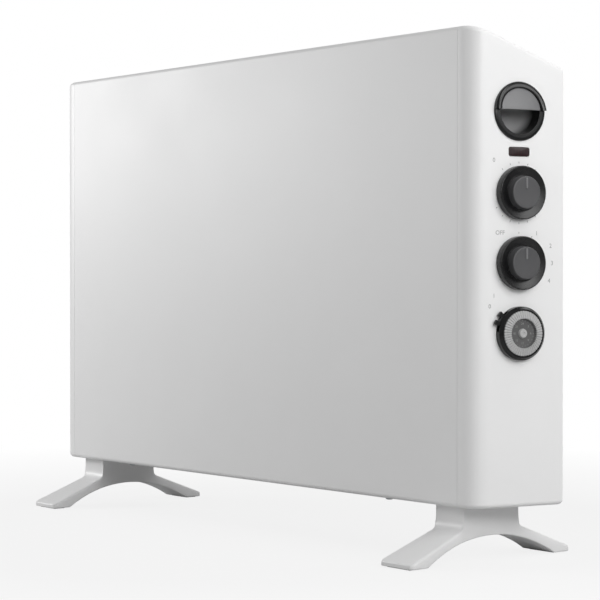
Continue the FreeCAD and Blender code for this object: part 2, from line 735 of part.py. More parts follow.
def control_nut():
    """Hexagon nut on the neck, hidden under its knob."""
    corner = NUT_ACROSS / math.sqrt(3)
    turns = [math.pi / 3 * index for index in range(6)]
    hexagon = [Vector(FIT, corner * math.cos(turn), corner * math.sin(turn)) for turn in turns]
    return prism(hexagon, OUTWARD * NUT_THICK).cut(rod(NECK_R + FIT, ORIGIN, OUTWARD * 2 * NUT_THICK))


# Timer

def timer_bezel():
    """Fixed surround of the timer: floor, wall with the lever's slot, and a rail that guides the lever."""
    neck_r = TIMER_NECK_R + NECK_PLAY
    wall = turned(
        [(FIT, neck_r), (FIT, TIMER_R), (TIMER_TOP - TIMER_CHAMFER, TIMER_R),
         (TIMER_TOP, TIMER_R - TIMER_CHAMFER), (TIMER_TOP, TIMER_WELL_R),
         (TIMER_FLOOR, TIMER_WELL_R), (TIMER_FLOOR, neck_r)])
    rail_r = TIMER_WELL_R - LEVER_RING_WIDTH - 2 * LEVER_PLAY
    rail_inner_r = rail_r - TIMER_RAIL_WIDTH
    rail_low = TIMER_FLOOR - FIT
    rail_high = TIMER_FLOOR + TIMER_RAIL_TALL
    rail_half = LEVER_RING_HALF + LEVER_TRAVEL
    rail = sector(rail_r, LEVER_ANGLE, rail_half, rail_low, rail_high)
    rail = rail.cut(rod(rail_inner_r, ORIGIN, OUTWARD * TIMER_TOP))
    swing = LEVER_HALF_WIDTH + LEVER_TRAVEL + math.degrees(LEVER_PLAY / TIMER_WELL_R)
    slot_low = LEVER_LOW - LEVER_PLAY + FIT
    slot = sector(LEVER_TIP_R, LEVER_ANGLE, swing, slot_low, LEVER_LOW + LEVER_THICK + LEVER_PLAY)
    slot = slot.cut(rod(rail_r + LEVER_PLAY, ORIGIN, OUTWARD * TIMER_TOP))
    hole_r = TIMER_SCREW_R + SCREW_HOLE_PLAY
    holes = [peg(hole_r, place, place + OUTWARD * TIMER_TOP) for place in timer_screw_places()]
    return joined([wall, rail]).cut(holes + [slot])


def timer_lever():
    """Override lever: a curved runner behind the wall and a notched tab through the slot."""
    outer = TIMER_WELL_R - LEVER_PLAY
    inner = outer - LEVER_RING_WIDTH
    high = LEVER_LOW + LEVER_THICK
    centre = rod(inner, ORIGIN, OUTWARD * 2 * high)
    runner = sector(outer, LEVER_ANGLE, LEVER_RING_HALF, LEVER_LOW, high).cut(centre)
    tab = sector(LEVER_TIP_R, LEVER_ANGLE, LEVER_HALF_WIDTH, LEVER_LOW, high).cut(centre)
    notch = sector(2 * LEVER_TIP_R, LEVER_ANGLE, LEVER_NOTCH_HALF, 0, 2 * high)
    notch = notch.cut(rod(LEVER_TIP_R - LEVER_NOTCH, ORIGIN, OUTWARD * 2 * high))
    return joined([runner, tab]).cut(notch)


def timer_dial():
    """Day wheel: recessed face, land for the tabs, hub and rim."""
    rim_r = TIMER_WELL_R - DIAL_PLAY
    wheel = turned(
        [(DIAL_UNDER, 0), (DIAL_UNDER, rim_r), (DIAL_LAND, rim_r), (DIAL_LAND, TAB_INNER_R - TAB_SPACE),
         (DIAL_FACE, TAB_INNER_R - 2 * TAB_SPACE), (DIAL_FACE, DIAL_HUB_R),
         (DIAL_HUB_TOP, DIAL_HUB_R - DIAL_HUB_TAPER), (DIAL_HUB_TOP, 0)])
    return wheel.cut(rod(TIMER_SPINDLE_R + FIT, ORIGIN, OUTWARD * DIAL_FACE))


def timer_tabs():
    """Ring of switching tabs, each a block that tapers towards the hub."""
    outer_r = TIMER_WELL_R - DIAL_PLAY
    step = 2 * math.pi / TAB_COUNT
    inner_half = TAB_INNER_R * math.tan(step / 2) - TAB_SPACE / 2
    outer_half = outer_r * math.tan(step / 2) - TAB_SPACE
    far = math.sqrt(outer_r ** 2 - outer_half ** 2)
    low = DIAL_LAND + FIT
    block = prism(
        [Vector(low, TAB_INNER_R, -inner_half), Vector(low, far, -outer_half),
         Vector(low, far, outer_half), Vector(low, TAB_INNER_R, inner_half)], OUTWARD * (TAB_TOP - low))
    tabs = []
    for index in range(TAB_COUNT):
        tab = block.copy()
        tab.rotate(ORIGIN, OUTWARD, 360.0 * index / TAB_COUNT)
        tabs.append(tab)
    return Part.Compound(tabs)


def timer_spindle():
    """Spindle that carries the day wheel."""
    return rod(TIMER_SPINDLE_R, -OUTWARD * SPINDLE_IN, OUTWARD * (DIAL_FACE - FIT))


def timer_mechanism():
    """Clock movement and switch behind the end wall."""
    deep, wide, tall = TIMER_BODY
    front = -CAP_WALL - FIT
    case = box(front - deep, front, -wide / 2, wide / 2, -tall / 2, tall / 2)
    neck = rod(TIMER_NECK_R, OUTWARD * (front - FIT), OUTWARD * TIMER_FLOOR)
    tabs = blades(front - deep + FIT, [(-BLADE_SPREAD, 0), (BLADE_SPREAD, 0)])
    bore = rod(TIMER_SPINDLE_R + SPINDLE_PLAY, -OUTWARD * (SPINDLE_IN + FIT), OUTWARD * 2 * TIMER_FLOOR)
    pilot_end = -OUTWARD * TIMER_SCREW_LENGTH
    pilots = [peg(TIMER_SCREW_R + FIT, place, place + pilot_end) for place in timer_screw_places()]
    return joined([case, neck] + tabs).cut(pilots + [bore])


def timer_screws():
    """Two screws that clamp the end wall between the bezel and the movement."""
    return Part.Compound([screw(place + OUTWARD * TIMER_FLOOR, -OUTWARD, TIMER_SCREW_R, TIMER_SCREW_LENGTH,
                                TIMER_SCREW_HEAD_R, TIMER_SCREW_HEAD) for place in timer_screw_places()])


# Heating element and chassis

def right_chassis_plate():
    """Upright that carries the element, with a foot bent along the base plate."""
    low_x = CHASSIS_X - CHASSIS_SHEET
    upright = case_prism(CHASSIS_INSET, low_x, CHASSIS_X)
    tongue = box(low_x, CHASSIS_X, -CHASSIS_FOOT_Y, CHASSIS_FOOT_Y, CHASSIS_FLOOR, BASE_Z + 2 * CHASSIS_INSET)
    foot = box(low_x, UNDER_X, -CHASSIS_FOOT_Y, CHASSIS_FOOT_Y, CHASSIS_FLOOR, CHASSIS_FLOOR + CHASSIS_SHEET)
    axis = Vector(0, ELEMENT_Y, ELEMENT_Z)
    cuts = [rod(BUSH_R + FIT, axis + OUTWARD * (low_x - OVERRUN), axis + OUTWARD * (CHASSIS_X + OVERRUN))]
    for point in foot_screw_points():
        cuts.append(peg(FOOT_SCREW_R + FIT, point, point + UP * 2 * CHASSIS_INSET))
    return joined([upright, tongue, foot]).cut(cuts)


def heating_element():
    """Finned aluminium bar: a round core with flat fins through its middle."""
    half = ELEMENT_LENGTH / 2
    pieces = [rod(ELEMENT_CORE_R, -OUTWARD * half, OUTWARD * half)]
    for index in range(FIN_PLATES):
        plate = box(-half, half, -FIN_R, FIN_R, -FIN_THICK / 2, FIN_THICK / 2)
        plate.rotate(ORIGIN, OUTWARD, 180.0 * index / FIN_PLATES)
        pieces.append(plate)
    element = joined(pieces)
    element.translate(Vector(0, ELEMENT_Y, ELEMENT_Z))
    return element


def right_element_rod():
    """Sheathed end of the element, through the chassis plate."""
    start = Vector(ELEMENT_LENGTH / 2, ELEMENT_Y, ELEMENT_Z)
    return rod(ROD_R, start, Vector(CHASSIS_X + ROD_PAST, ELEMENT_Y, ELEMENT_Z))


def right_element_bush():
    """Ceramic bush in the chassis plate, with its flange on the element's side."""
    axis = Vector(0, ELEMENT_Y, ELEMENT_Z)
    inner = CHASSIS_X - CHASSIS_SHEET - FIT
    flange = rod(BUSH_FLANGE_R, axis + OUTWARD * (inner - BUSH_FLANGE), axis + OUTWARD * inner)
    sleeve = rod(BUSH_R, axis + OUTWARD * (inner - BUSH_FLANGE), axis + OUTWARD * (CHASSIS_X + BUSH_FLANGE))
    bore = rod(ROD_R + FIT, axis, axis + OUTWARD * 2 * CHASSIS_X)
    return joined([flange, sleeve]).cut(bore)


def both_ends(piece):
    """A piece and its mirror image, as separate solids of one group."""
    return Part.Compound([piece, mirrored(piece)])


def heat_shield():
    """Bright sheet between the element and the front panel, with a return at each end."""
    reach = CHASSIS_X - CHASSIS_SHEET - FIT
    front = FRONT_Y + SHEET + SHIELD_GAP
    low = BASE_Z + SHIELD_LOW
    high = low + SHIELD_TALL
    pieces = [box(-reach, reach, front, front + SHIELD_SHEET, low, high)]
    for side in (-1, 1):
        ends = sorted((side * reach, side * (reach - SHIELD_SHEET)))
        pieces.append(box(*ends, front, front + SHIELD_RETURN, low, high))
    return joined(pieces)


def thermal_cutout():
    """Bimetal safety cut-out on the back of the heat shield, with two blades."""
    seat = FRONT_Y + SHEET + SHIELD_GAP + SHIELD_SHEET + FIT
    centre = Vector(CUTOUT_X, seat, BASE_Z + CUTOUT_HEIGHT)
    can = rod(CUTOUT_R, centre, centre + Vector(0, CUTOUT_THICK, 0))
    back = seat + CUTOUT_THICK
    pieces = [can]
    for side in (-1, 1):
        x = CUTOUT_X + side * CUTOUT_R / 2
        pieces.append(box(x - BLADE_THICK / 2, x + BLADE_THICK / 2, back - FIT, back + BLADE_LENGTH,
                          centre.z - BLADE_WIDTH / 2, centre.z + BLADE_WIDTH / 2))
    return joined(pieces)


# Supply

def terminal_block():
    """Terminal block on the outer side of the right chassis plate."""
    deep, wide, tall = BLOCK_SIZE
    low = BASE_Z + BLOCK_HEIGHT
    start = CHASSIS_X + FIT
    return box(start, start + deep, -wide / 2, wide / 2, low, low + tall)


def cord_gland():
    """Flanged bush for the supply lead in the rear panel, with an inner grip ring."""
    centre = Vector(GLAND_X, REAR_Y, BASE_Z + GLAND_HEIGHT)
    back = Vector(0, 1, 0)
    flange = rod(GLAND_FLANGE_R, centre + back * FIT, centre + back * (FIT + GLAND_FLANGE))
    sleeve = rod(GLAND_R, centre - back * GLAND_INSIDE, centre + back * (FIT + GLAND_FLANGE))
    ring = rod(GLAND_FLANGE_R, centre - back * GLAND_INSIDE, centre - back * (SHEET + FIT))
    bore = rod(GLAND_BORE_R, centre - back * 2 * GLAND_INSIDE, centre + back * 2 * GLAND_INSIDE)
    return joined([flange, sleeve, ring]).cut(bore)


def wire_out(depth):
    """Where the wires stand, out of the end face, on the blades behind a control of this depth."""
    return -CAP_WALL - depth - WIRE_PLACE


def wiring():
    """Links from blade to blade behind the controls, and the timer's lead to the terminal block."""
    controls = [
        (TIMER_BODY[0], TIMER_Z, -BLADE_SPREAD),
        (SELECTOR_LENGTH, SELECTOR_Z, BLADE_SPREAD),
        (THERMOSTAT_SIZE[0], THERMOSTAT_Z, -BLADE_SPREAD),
        (LAMP_FLANGE_THICK + LAMP_BODY_LENGTH, LAMP_Z, BLADE_SPREAD),
    ]
    clear = BLADE_WIDTH / 2 + WIRE_GAP
    wires = []
    for (low_depth, low_z, back), (high_depth, high_z, _) in zip(controls, controls[1:]):
        start = end_point(wire_out(low_depth), back, low_z + clear)
        wires.append(peg(WIRE_R, start, end_point(wire_out(high_depth), back, high_z - clear)))
    top = end_point(wire_out(TIMER_BODY[0]), BLADE_SPREAD, TIMER_Z - clear)
    block_x = CHASSIS_X + FIT + BLOCK_SIZE[0] / 2
    block_top = BASE_Z + BLOCK_HEIGHT + BLOCK_SIZE[2] + WIRE_GAP
    wires.append(peg(WIRE_R, top, Vector(block_x, top.y, block_top)))
    return Part.Compound(wires)


# Feet

def foot_screw_points():
    """Middle of each foot screw, where it crosses the underside of the case."""
    return [Vector(x, y, BASE_Z) for x in (-FOOT_X, FOOT_X) for y in (-FOOT_SCREW_SPREAD, FOOT_SCREW_SPREAD)]


def pad_blocks(grow):
    """Rubber pads under the toes of the right foot, or their seats when grown by a little."""
    middle = (FOOT_LENGTH - TOE_FLAT) / 2
    half_l = PAD_LENGTH / 2 + grow
    half_w = PAD_WIDTH / 2 + grow
    return [box(FOOT_X - half_w, FOOT_X + half_w, y - half_l, y + half_l, 0, PAD_THICK + grow)
            for y in (-middle, middle)]


def right_foot():
    """Arched foot: neck block, two splayed arms that widen to the toes, and screw wells."""
    half = FOOT_LENGTH / 2
    neck = NECK_LENGTH / 2
    shoulder = BASE_Z - NECK_DROP
    toe_top = PAD_PROUD + TOE_THICK
    left_x = FOOT_X - FOOT_TOE_WIDTH
    section = [(-neck, BASE_Z), (-neck, shoulder), (-half, toe_top), (-half, PAD_PROUD),
               (half, PAD_PROUD), (half, toe_top), (neck, shoulder), (neck, BASE_Z)]
    radii = [0, NECK_FILLET_R, TOE_NOSE_R, TOE_SOLE_R, TOE_SOLE_R, TOE_NOSE_R, NECK_FILLET_R, 0]
    body = prism([Vector(left_x, y, z) for y, z in section], OUTWARD * 2 * FOOT_TOE_WIDTH, radii)

    plan = []
    for side in (1, -1):
        widths = [(FOOT_TOE_WIDTH, -half), (NECK_WIDTH, -neck), (NECK_WIDTH, neck), (FOOT_TOE_WIDTH, half)]
        plan += [Vector(FOOT_X + side * width / 2, side * y, 0) for width, y in widths]
    plan_radii = [TOE_CORNER_R, NECK_BLEND_R, NECK_BLEND_R, TOE_CORNER_R] * 2
    body = body.common(prism(plan, UP * BASE_Z, plan_radii))

    rise = ARCH_CROWN - PAD_PROUD
    foot_half = half - TOE_FLAT
    arch_r = (foot_half ** 2 + rise ** 2) / (2 * rise)
    centre = Vector(left_x, 0, ARCH_CROWN - arch_r)
    cuts = [rod(arch_r, centre, centre + OUTWARD * 2 * FOOT_TOE_WIDTH)] + pad_blocks(PAD_PLAY)
    for point in foot_screw_points():
        if point.x > 0:
            bearing = point - UP * FOOT_SCREW_BEAR
            cuts.append(peg(FOOT_SCREW_R + SCREW_HOLE_PLAY, bearing, point + UP * OVERRUN))
            cuts.append(peg(FOOT_SCREW_HEAD_R + SCREW_HOLE_PLAY, bearing, bearing - UP * BASE_Z))
    return body.cut(cuts)


def foot_pads():
    """Four rubber pads."""
    right = pad_blocks(0)
    return Part.Compound(right + [mirrored(pad) for pad in right])


def foot_screws():
    """Four screws from the feet into the chassis plates."""
    length = FOOT_SCREW_BEAR + SHEET + CHASSIS_SHEET + FOOT_SCREW_PAST
    seats = [point - UP * FOOT_SCREW_BEAR for point in foot_screw_points()]
    return Part.Compound([screw(seat, UP, FOOT_SCREW_R, length, FOOT_SCREW_HEAD_R, FOOT_SCREW_HEAD)
                          for seat in seats])


def rear_panel_screws():
    """Screws from the rear panel into the bosses of the end caps."""
    return Part.Compound([screw(point, Vector(0, -1, 0), SCREW_R, SCREW_LENGTH, SCREW_HEAD_R, SCREW_HEAD)
                          for point in rear_screw_points()])


def base_screws():
    """Screws from below through the panels' returns into the base plate."""
    return Part.Compound([screw(point, UP, SCREW_R, SCREW_LENGTH, SCREW_HEAD_R, SCREW_HEAD)
                          for point in base_screw_points()])


def all_pieces():
    """Every piece of the heater by name."""
    right_cap = right_end_cap()
    cup = on_right_end(handle_cup(), HANDLE_Z)
    hood = on_right_end(handle_hood(), HANDLE_Z)
    chassis = right_chassis_plate()
    foot = right_foot()
    nuts = [on_right_end(control_nut(), height) for height in (THERMOSTAT_Z, SELECTOR_Z)]
    return {
        "front_panel": front_panel(),
        "rear_panel": rear_panel(),
        "base_plate": base_plate(),
        "top_grille": top_grille(),
        "right_end_cap": right_cap,
        "left_end_cap": mirrored(end_shell()),
        "right_handle_cup": cup,
        "right_handle_hood": hood,
        "left_handle_cup": mirrored(cup),
        "left_handle_hood": mirrored(hood),
        "pilot_lamp_lens": on_right_end(pilot_lamp_lens(), LAMP_Z),
        "pilot_lamp_body": on_right_end(pilot_lamp_body(), LAMP_Z),
        "thermostat_body": on_right_end(thermostat_body(), THERMOSTAT_Z),
        "thermostat_spindle": on_right_end(spindle(), THERMOSTAT_Z),
        "thermostat_knob": on_right_end(knob(), THERMOSTAT_Z),
        "selector_body": on_right_end(selector_body(), SELECTOR_Z),
        "selector_spindle": on_right_end(spindle(), SELECTOR_Z),
        "selector_knob": on_right_end(knob(), SELECTOR_Z),
        "control_nuts": Part.Compound(nuts),
        "timer_bezel": on_right_end(timer_bezel(), TIMER_Z),
        "timer_lever": on_right_end(timer_lever(), TIMER_Z),
        "timer_dial": on_right_end(timer_dial(), TIMER_Z),
        "timer_tabs": on_right_end(timer_tabs(), TIMER_Z),
        "timer_spindle": on_right_end(timer_spindle(), TIMER_Z),
        "timer_mechanism": on_right_end(timer_mechanism(), TIMER_Z),
        "timer_screws": on_right_end(timer_screws(), TIMER_Z),
        "heating_element": heating_element(),
        "element_rods": both_ends(right_element_rod()),
        "element_bushes": both_ends(right_element_bush()),
        "right_chassis_plate": chassis,
        "left_chassis_plate": mirrored(chassis),
        "heat_shield": heat_shield(),
        "thermal_cutout": thermal_cutout(),
        "terminal_block": terminal_block(),
        "cord_gland": cord_gland(),
        "wiring": wiring(),
        "right_foot": foot,
        "left_foot": mirrored(foot),
        "foot_pads": foot_pads(),
        "foot_screws": foot_screws(),
        "rear_panel_screws": rear_panel_screws(),
        "base_screws": base_screws(),
    }


os.makedirs("parts", exist_ok=True)
for name, shape in all_pieces().items():
    shape.exportStep("parts/" + name + ".step")
    state = "valid" if shape.isValid() else "INVALID"
    print(name, len(shape.Solids), "solids", round(shape.Volume), "mm3", state)
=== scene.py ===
# %% [markdown]
# # A slim panel convector heater
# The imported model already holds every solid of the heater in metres: a folded white case, two
# moulded ends, finger grips, a pilot lamp, two knobs, a day timer and two arched feet. This lesson
# gives those solids their finishes and replaces the ones that a hand or an eye comes close to with
# smoother surfaces. Every surface is worked out where its solid stands, so nothing is fitted by eye.

# %% The frame, and its box before anything is added
import json
import math

import bmesh
import bpy
import numpy as np
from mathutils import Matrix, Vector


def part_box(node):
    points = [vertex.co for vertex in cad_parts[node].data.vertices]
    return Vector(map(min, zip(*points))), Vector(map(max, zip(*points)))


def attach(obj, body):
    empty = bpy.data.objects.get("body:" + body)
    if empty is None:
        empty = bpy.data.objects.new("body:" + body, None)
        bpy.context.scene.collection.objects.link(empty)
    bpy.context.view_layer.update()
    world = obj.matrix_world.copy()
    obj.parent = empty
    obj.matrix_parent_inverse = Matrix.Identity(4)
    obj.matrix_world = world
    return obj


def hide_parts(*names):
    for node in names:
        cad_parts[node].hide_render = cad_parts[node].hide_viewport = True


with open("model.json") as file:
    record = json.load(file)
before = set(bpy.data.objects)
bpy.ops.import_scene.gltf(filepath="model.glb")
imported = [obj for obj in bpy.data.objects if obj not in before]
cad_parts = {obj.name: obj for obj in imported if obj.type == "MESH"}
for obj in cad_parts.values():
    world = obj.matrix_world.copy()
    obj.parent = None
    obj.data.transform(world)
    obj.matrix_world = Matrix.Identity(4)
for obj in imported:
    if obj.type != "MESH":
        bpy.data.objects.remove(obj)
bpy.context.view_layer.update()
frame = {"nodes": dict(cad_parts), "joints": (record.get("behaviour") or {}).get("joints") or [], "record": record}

# %% [markdown]
# ## Places on the end
# The controls sit on an end face that is turned a little towards the front. Its outward direction
# is the reverse of the knobs' turning axis, which the frame gives. With that, every control can be
# drawn lying flat, in millimetres out of the face, back along it and up it, and then be seated.

# %% The end face's own directions
MM = 0.001
joints = {joint["name"]: joint for joint in frame["joints"]}
OUT = -np.array(joints["thermostat_turn"]["axis"])
UP = np.array((0.0, 0.0, 1.0))
BACK = np.cross(UP, OUT)
SIDES = (("right", np.ones(3)), ("left", np.array((-1.0, 1.0, 1.0))))


def joint_centre(name):
    """Where a joint's axis meets the end face."""
    return np.array(joints[name]["pos_m"])


def end_centre(node):
    """Point on the end's middle line, level with the middle of a node."""
    low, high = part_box(node)
    across = joint_centre("thermostat_turn")
    return np.array((across[0], across[1], (low.z + high.z) / 2))


def on_end(points, centre):
    """Points of (out, back, up) in millimetres become metres: centre + out, back and up along the face."""
    return centre + MM * (points[..., 0:1] * OUT + points[..., 1:2] * BACK + points[..., 2:3] * UP)


def measured(node, centre):
    """Least and most distance out of the face, and the largest radius about a centre, in millimetres."""
    mesh = frame["nodes"][node].data
    flat = np.empty(len(mesh.vertices) * 3)
    mesh.vertices.foreach_get("co", flat)
    away = (flat.reshape(-1, 3) - centre) / MM
    out = away @ OUT
    return out.min(), out.max(), np.hypot(away @ BACK, away @ UP).max()


THERMOSTAT = joint_centre("thermostat_turn")
SELECTOR = joint_centre("selector_turn")
TIMER = joint_centre("timer_turn")
HANDLE = end_centre("right_handle_cup")
LAMP = end_centre("pilot_lamp_lens")
print("out", OUT.round(4), "knob", measured("thermostat_knob", THERMOSTAT))

# %% [markdown]
# ## Camera
# The photograph was taken from the front and right, a little above half the heater's height, with a
# long lens. The place, turn and focal length come from matching the case's edges, the feet and the
# circles of the controls, so no shift is needed.

# %% Camera
CAMERA_PLACE = (1.474445, -1.158520, 0.239089)
CAMERA_AZIMUTH = 51.196
CAMERA_FALL = 0.630
CAMERA_LENS = 117.0
CAMERA_SENSOR = 36.0

camera_data = bpy.data.cameras.new("camera")
camera_data.lens = CAMERA_LENS
camera_data.sensor_width = CAMERA_SENSOR
camera = bpy.data.objects.new("camera", camera_data)
camera.location = CAMERA_PLACE
camera.rotation_euler = (math.radians(90 - CAMERA_FALL), 0, math.radians(CAMERA_AZIMUTH))
scene = bpy.context.scene
scene.collection.objects.link(camera)
scene.camera = camera
print("camera", camera_data.lens, "mm")

# %% [markdown]
# ## Finishes
# A finish is a small tree of shader nodes. One function adds a node, another turns the usual hex
# colours into the linear values that a renderer works with. All patterns read Object coordinates,
# which are metres here, so a pattern's scale is one over its real size in metres.

# %% Small helpers for finishes
def linear(code):
    """sRGB hex to linear: c / 12.92 for dark channels, else ((c + 0.055) / 1.055) to the power 2.4."""
    channels = np.array([int(code[place:place + 2], 16) for place in (1, 3, 5)]) / 255
    bright = ((channels + 0.055) / 1.055) ** 2.4
    return (*np.where(channels <= 0.04045, channels / 12.92, bright).tolist(), 1.0)


def add_node(tree, kind, sockets=None, **settings):
    """Adds one node, sets its properties, and gives each named socket a value or a link."""
    node = tree.nodes.new(kind)
    for key, value in settings.items():
        setattr(node, key, value)
    for socket, value in (sockets or {}).items():
        if isinstance(value, bpy.types.NodeSocket):
            tree.links.new(value, node.inputs[socket])
        else:
            node.inputs[socket].default_value = value
    return node


def per_metre(size_mm):
    """Texture scale for a pattern whose cells are about this many millimetres wide."""
    return 1 / (size_mm * MM)


def started(name):
    """A new material, its tree, its shader and its Object coordinates."""
    material = bpy.data.materials.new(name)
    material.use_nodes = True
    tree = material.node_tree
    place = add_node(tree, "ShaderNodeTexCoord").outputs["Object"]
    return material, tree, tree.nodes["Principled BSDF"], place


print("white in linear", linear("#f2f2f2"))

# %% [markdown]
# ## Painted and moulded finishes
# Powder coat flows as it bakes and leaves a faint orange peel. A moulded part copies the sparked
# grain of its tool, which is finer and sharper. Both are a colour that drifts very slightly over
# the piece, a roughness that drifts with it, and a bump of the right size. So one recipe serves
# both, with the peel or the grain given in millimetres.

# %% The recipe for a grained finish
GLOSS_DRIFT = 0.05


def grained(name, pale, deep, roughness, cell_mm, depth_mm, drift_mm, ior=1.5):
    """Colour between deep and pale by a slow noise, roughness by the same noise, bump by a fine one."""
    material, tree, shader, place = started(name)
    slow = add_node(tree, "ShaderNodeTexNoise", {
        "Vector": place, "Scale": per_metre(drift_mm), "Detail": 3.0, "Roughness": 0.55}).outputs["Fac"]
    tint = add_node(tree, "ShaderNodeMix", {
        "Factor": slow, "A": linear(deep), "B": linear(pale)}, data_type="RGBA").outputs["Result"]
    gloss = add_node(tree, "ShaderNodeMapRange", {
        "Value": slow, "To Min": roughness - GLOSS_DRIFT,
        "To Max": roughness + GLOSS_DRIFT}).outputs["Result"]
    fine = add_node(tree, "ShaderNodeTexNoise", {
        "Vector": place, "Scale": per_metre(cell_mm), "Detail": 2.0, "Roughness": 0.5}).outputs["Fac"]
    bump = add_node(tree, "ShaderNodeBump", {
        "Strength": 1.0, "Distance": depth_mm * MM, "Height": fine}).outputs["Normal"]
    tree.links.new(tint, shader.inputs["Base Color"])
    tree.links.new(gloss, shader.inputs["Roughness"])
    tree.links.new(bump, shader.inputs["Normal"])
    shader.inputs["IOR"].default_value = ior
    return material


# Powder-coated steel: satin white with an orange peel about 2 mm across.
powder_coat = grained("powder_coated_steel_satin_white", "#f4f4f4", "#f0f0f0", 0.46, 2.0, 0.006, 90.0)
# Sparked ABS of the ends: the same white, a finer and slightly livelier grain.
end_abs = grained("moulded_abs_sparked_white", "#f5f5f5", "#f1f1f1", 0.42, 0.9, 0.004, 60.0)
# The feet are moulded from a tougher plastic, a shade greyer and smoother.
foot_abs = grained("moulded_polypropylene_satin_white", "#f1f1f1", "#ececec", 0.40, 1.1, 0.004, 40.0)
# Black mouldings of the knobs' skirts, the bezel and the lever: deep black with a soft satin grain. On the knobs'
# skirts the black is painted shade: skirt and grip are one dark grey moulding.
black_abs_and_painted_shade = grained("moulded_abs_satin_black_and_painted_shade", "#151516", "#0f0f10", 0.27, 0.7, 0.005, 18.0)
# Grips of the knobs: dark grey, the colour of the whole knob; the black of the skirts around them is painted
# shade.
charcoal_abs = grained("moulded_abs_satin_charcoal", "#565657", "#4c4c4e", 0.38, 0.7, 0.006, 18.0)
# The hoods of the grips and the knobs' pointers: the same plastic in a middle grey.
hood_abs = grained("moulded_abs_satin_grey", "#7e7e7f", "#727274", 0.36, 0.7, 0.005, 18.0)
# The day timer's tabs and hub: pale grey acetal, a little waxy.
tab_acetal = grained("moulded_acetal_grey", "#bcbcbc", "#b0b0b0", 0.42, 0.8, 0.004, 12.0)
# The day wheel itself: the same acetal, coloured a darker grey so that the tabs stand out.
wheel_acetal = grained("moulded_acetal_dark_grey", "#626262", "#585858", 0.42, 0.8, 0.004, 12.0)
# Phenolic casings of the switches behind the end: dark brown, mineral filled.
phenolic = grained("moulded_phenolic_brown", "#3b2f29", "#2c231f", 0.55, 0.6, 0.01, 8.0)
# Unglazed steatite of the bushes: off-white and chalky.
steatite = grained("fired_steatite_unglazed", "#ece6da", "#ded7c9", 0.75, 0.5, 0.02, 6.0)
# Silicone wire jackets: pale grey, slightly greasy.
silicone = grained("extruded_silicone_grey", "#cfcfca", "#bdbdb8", 0.5, 0.5, 0.003, 5.0, ior=1.41)
# Rubber pads: black, dull and dusty.
rubber = grained("moulded_rubber_matt_black", "#2b2b2b", "#1d1d1d", 0.85, 0.8, 0.02, 10.0)
# Screen-printed ink of the marks: thin grey, slightly uneven where the mesh let less through.
grey_ink = grained("screen_printed_ink_grey", "#a6a6a6", "#8c8c8c", 0.55, 0.4, 0.002, 1.5)
print("materials so far", len(bpy.data.materials))

# %% [markdown]
# ## Metal and lens finishes
# Zinc plate shows soft spangled patches, aluminised sheet and an extruded bar show fine lines along
# their length. A metal keeps the default IOR and takes all its colour from the reflection. The lamp's
# lens is clear red plastic over a dark cavity, so unlit it looks almost black.

# %% Metals
METAL_DRIFT = 0.08


def metal(name, pale, deep, roughness, cell_mm, stretch):
    """Metal whose colour and roughness follow a noise that is stretched along X by a factor."""
    material, tree, shader, place = started(name)
    stretched = add_node(tree, "ShaderNodeMapping", {
        "Vector": place, "Scale": (1 / stretch, 1.0, 1.0)}).outputs["Vector"]
    lines = add_node(tree, "ShaderNodeTexNoise", {
        "Vector": stretched, "Scale": per_metre(cell_mm), "Detail": 4.0}).outputs["Fac"]
    tint = add_node(tree, "ShaderNodeMix", {
        "Factor": lines, "A": linear(deep), "B": linear(pale)}, data_type="RGBA").outputs["Result"]
    gloss = add_node(tree, "ShaderNodeMapRange", {
        "Value": lines, "To Min": roughness - METAL_DRIFT,
        "To Max": roughness + METAL_DRIFT}).outputs["Result"]
    tree.links.new(tint, shader.inputs["Base Color"])
    tree.links.new(gloss, shader.inputs["Roughness"])
    shader.inputs["Metallic"].default_value = 1.0
    return material


# Zinc-plated steel: cool grey with patches a few millimetres wide.
zinc_plate = metal("zinc_plated_steel_passivated", "#c9ccd0", "#a9adb2", 0.34, 4.0, 1.0)
# Aluminised sheet: bright, with rolling lines along its length.
bright_sheet = metal("rolled_aluminised_steel", "#dcdcdc", "#c2c2c2", 0.26, 0.8, 40.0)
# Extruded aluminium bar: drawn lines, duller than the sheet.
extruded_bar = metal("extruded_aluminium", "#d2d3d5", "#b8babd", 0.38, 0.6, 60.0)
print("metals", [finish.name for finish in (zinc_plate, bright_sheet, extruded_bar)])

# %% Lens
LENS_RIB = 9.0
LENS_ROUGHNESS = 0.3
ACRYLIC_IOR = 1.49


def lens_finish():
    """Dark red clear plastic, satin outside, whose colour deepens in the hollows of a ribbed wave."""
    material, tree, shader, place = started("moulded_acrylic_dark_red")
    ribs = add_node(tree, "ShaderNodeTexWave", {
        "Vector": place, "Scale": per_metre(LENS_RIB), "Distortion": 0.0},
        bands_direction="Y").outputs["Fac"]
    tint = add_node(tree, "ShaderNodeMix", {
        "Factor": ribs, "A": linear("#1a070b"), "B": linear("#2a0c11")}, data_type="RGBA").outputs["Result"]
    tree.links.new(tint, shader.inputs["Base Color"])
    shader.inputs["Roughness"].default_value = LENS_ROUGHNESS
    shader.inputs["IOR"].default_value = ACRYLIC_IOR
    return material


red_acrylic = lens_finish()
print("lens finish", red_acrylic.name)

# %% [markdown]
# ## Dressing the solids
# The record names a slot for each node, such as white enamel or zinc steel. A node whose shape is
# right keeps its mesh and only gets the finish of its slot.

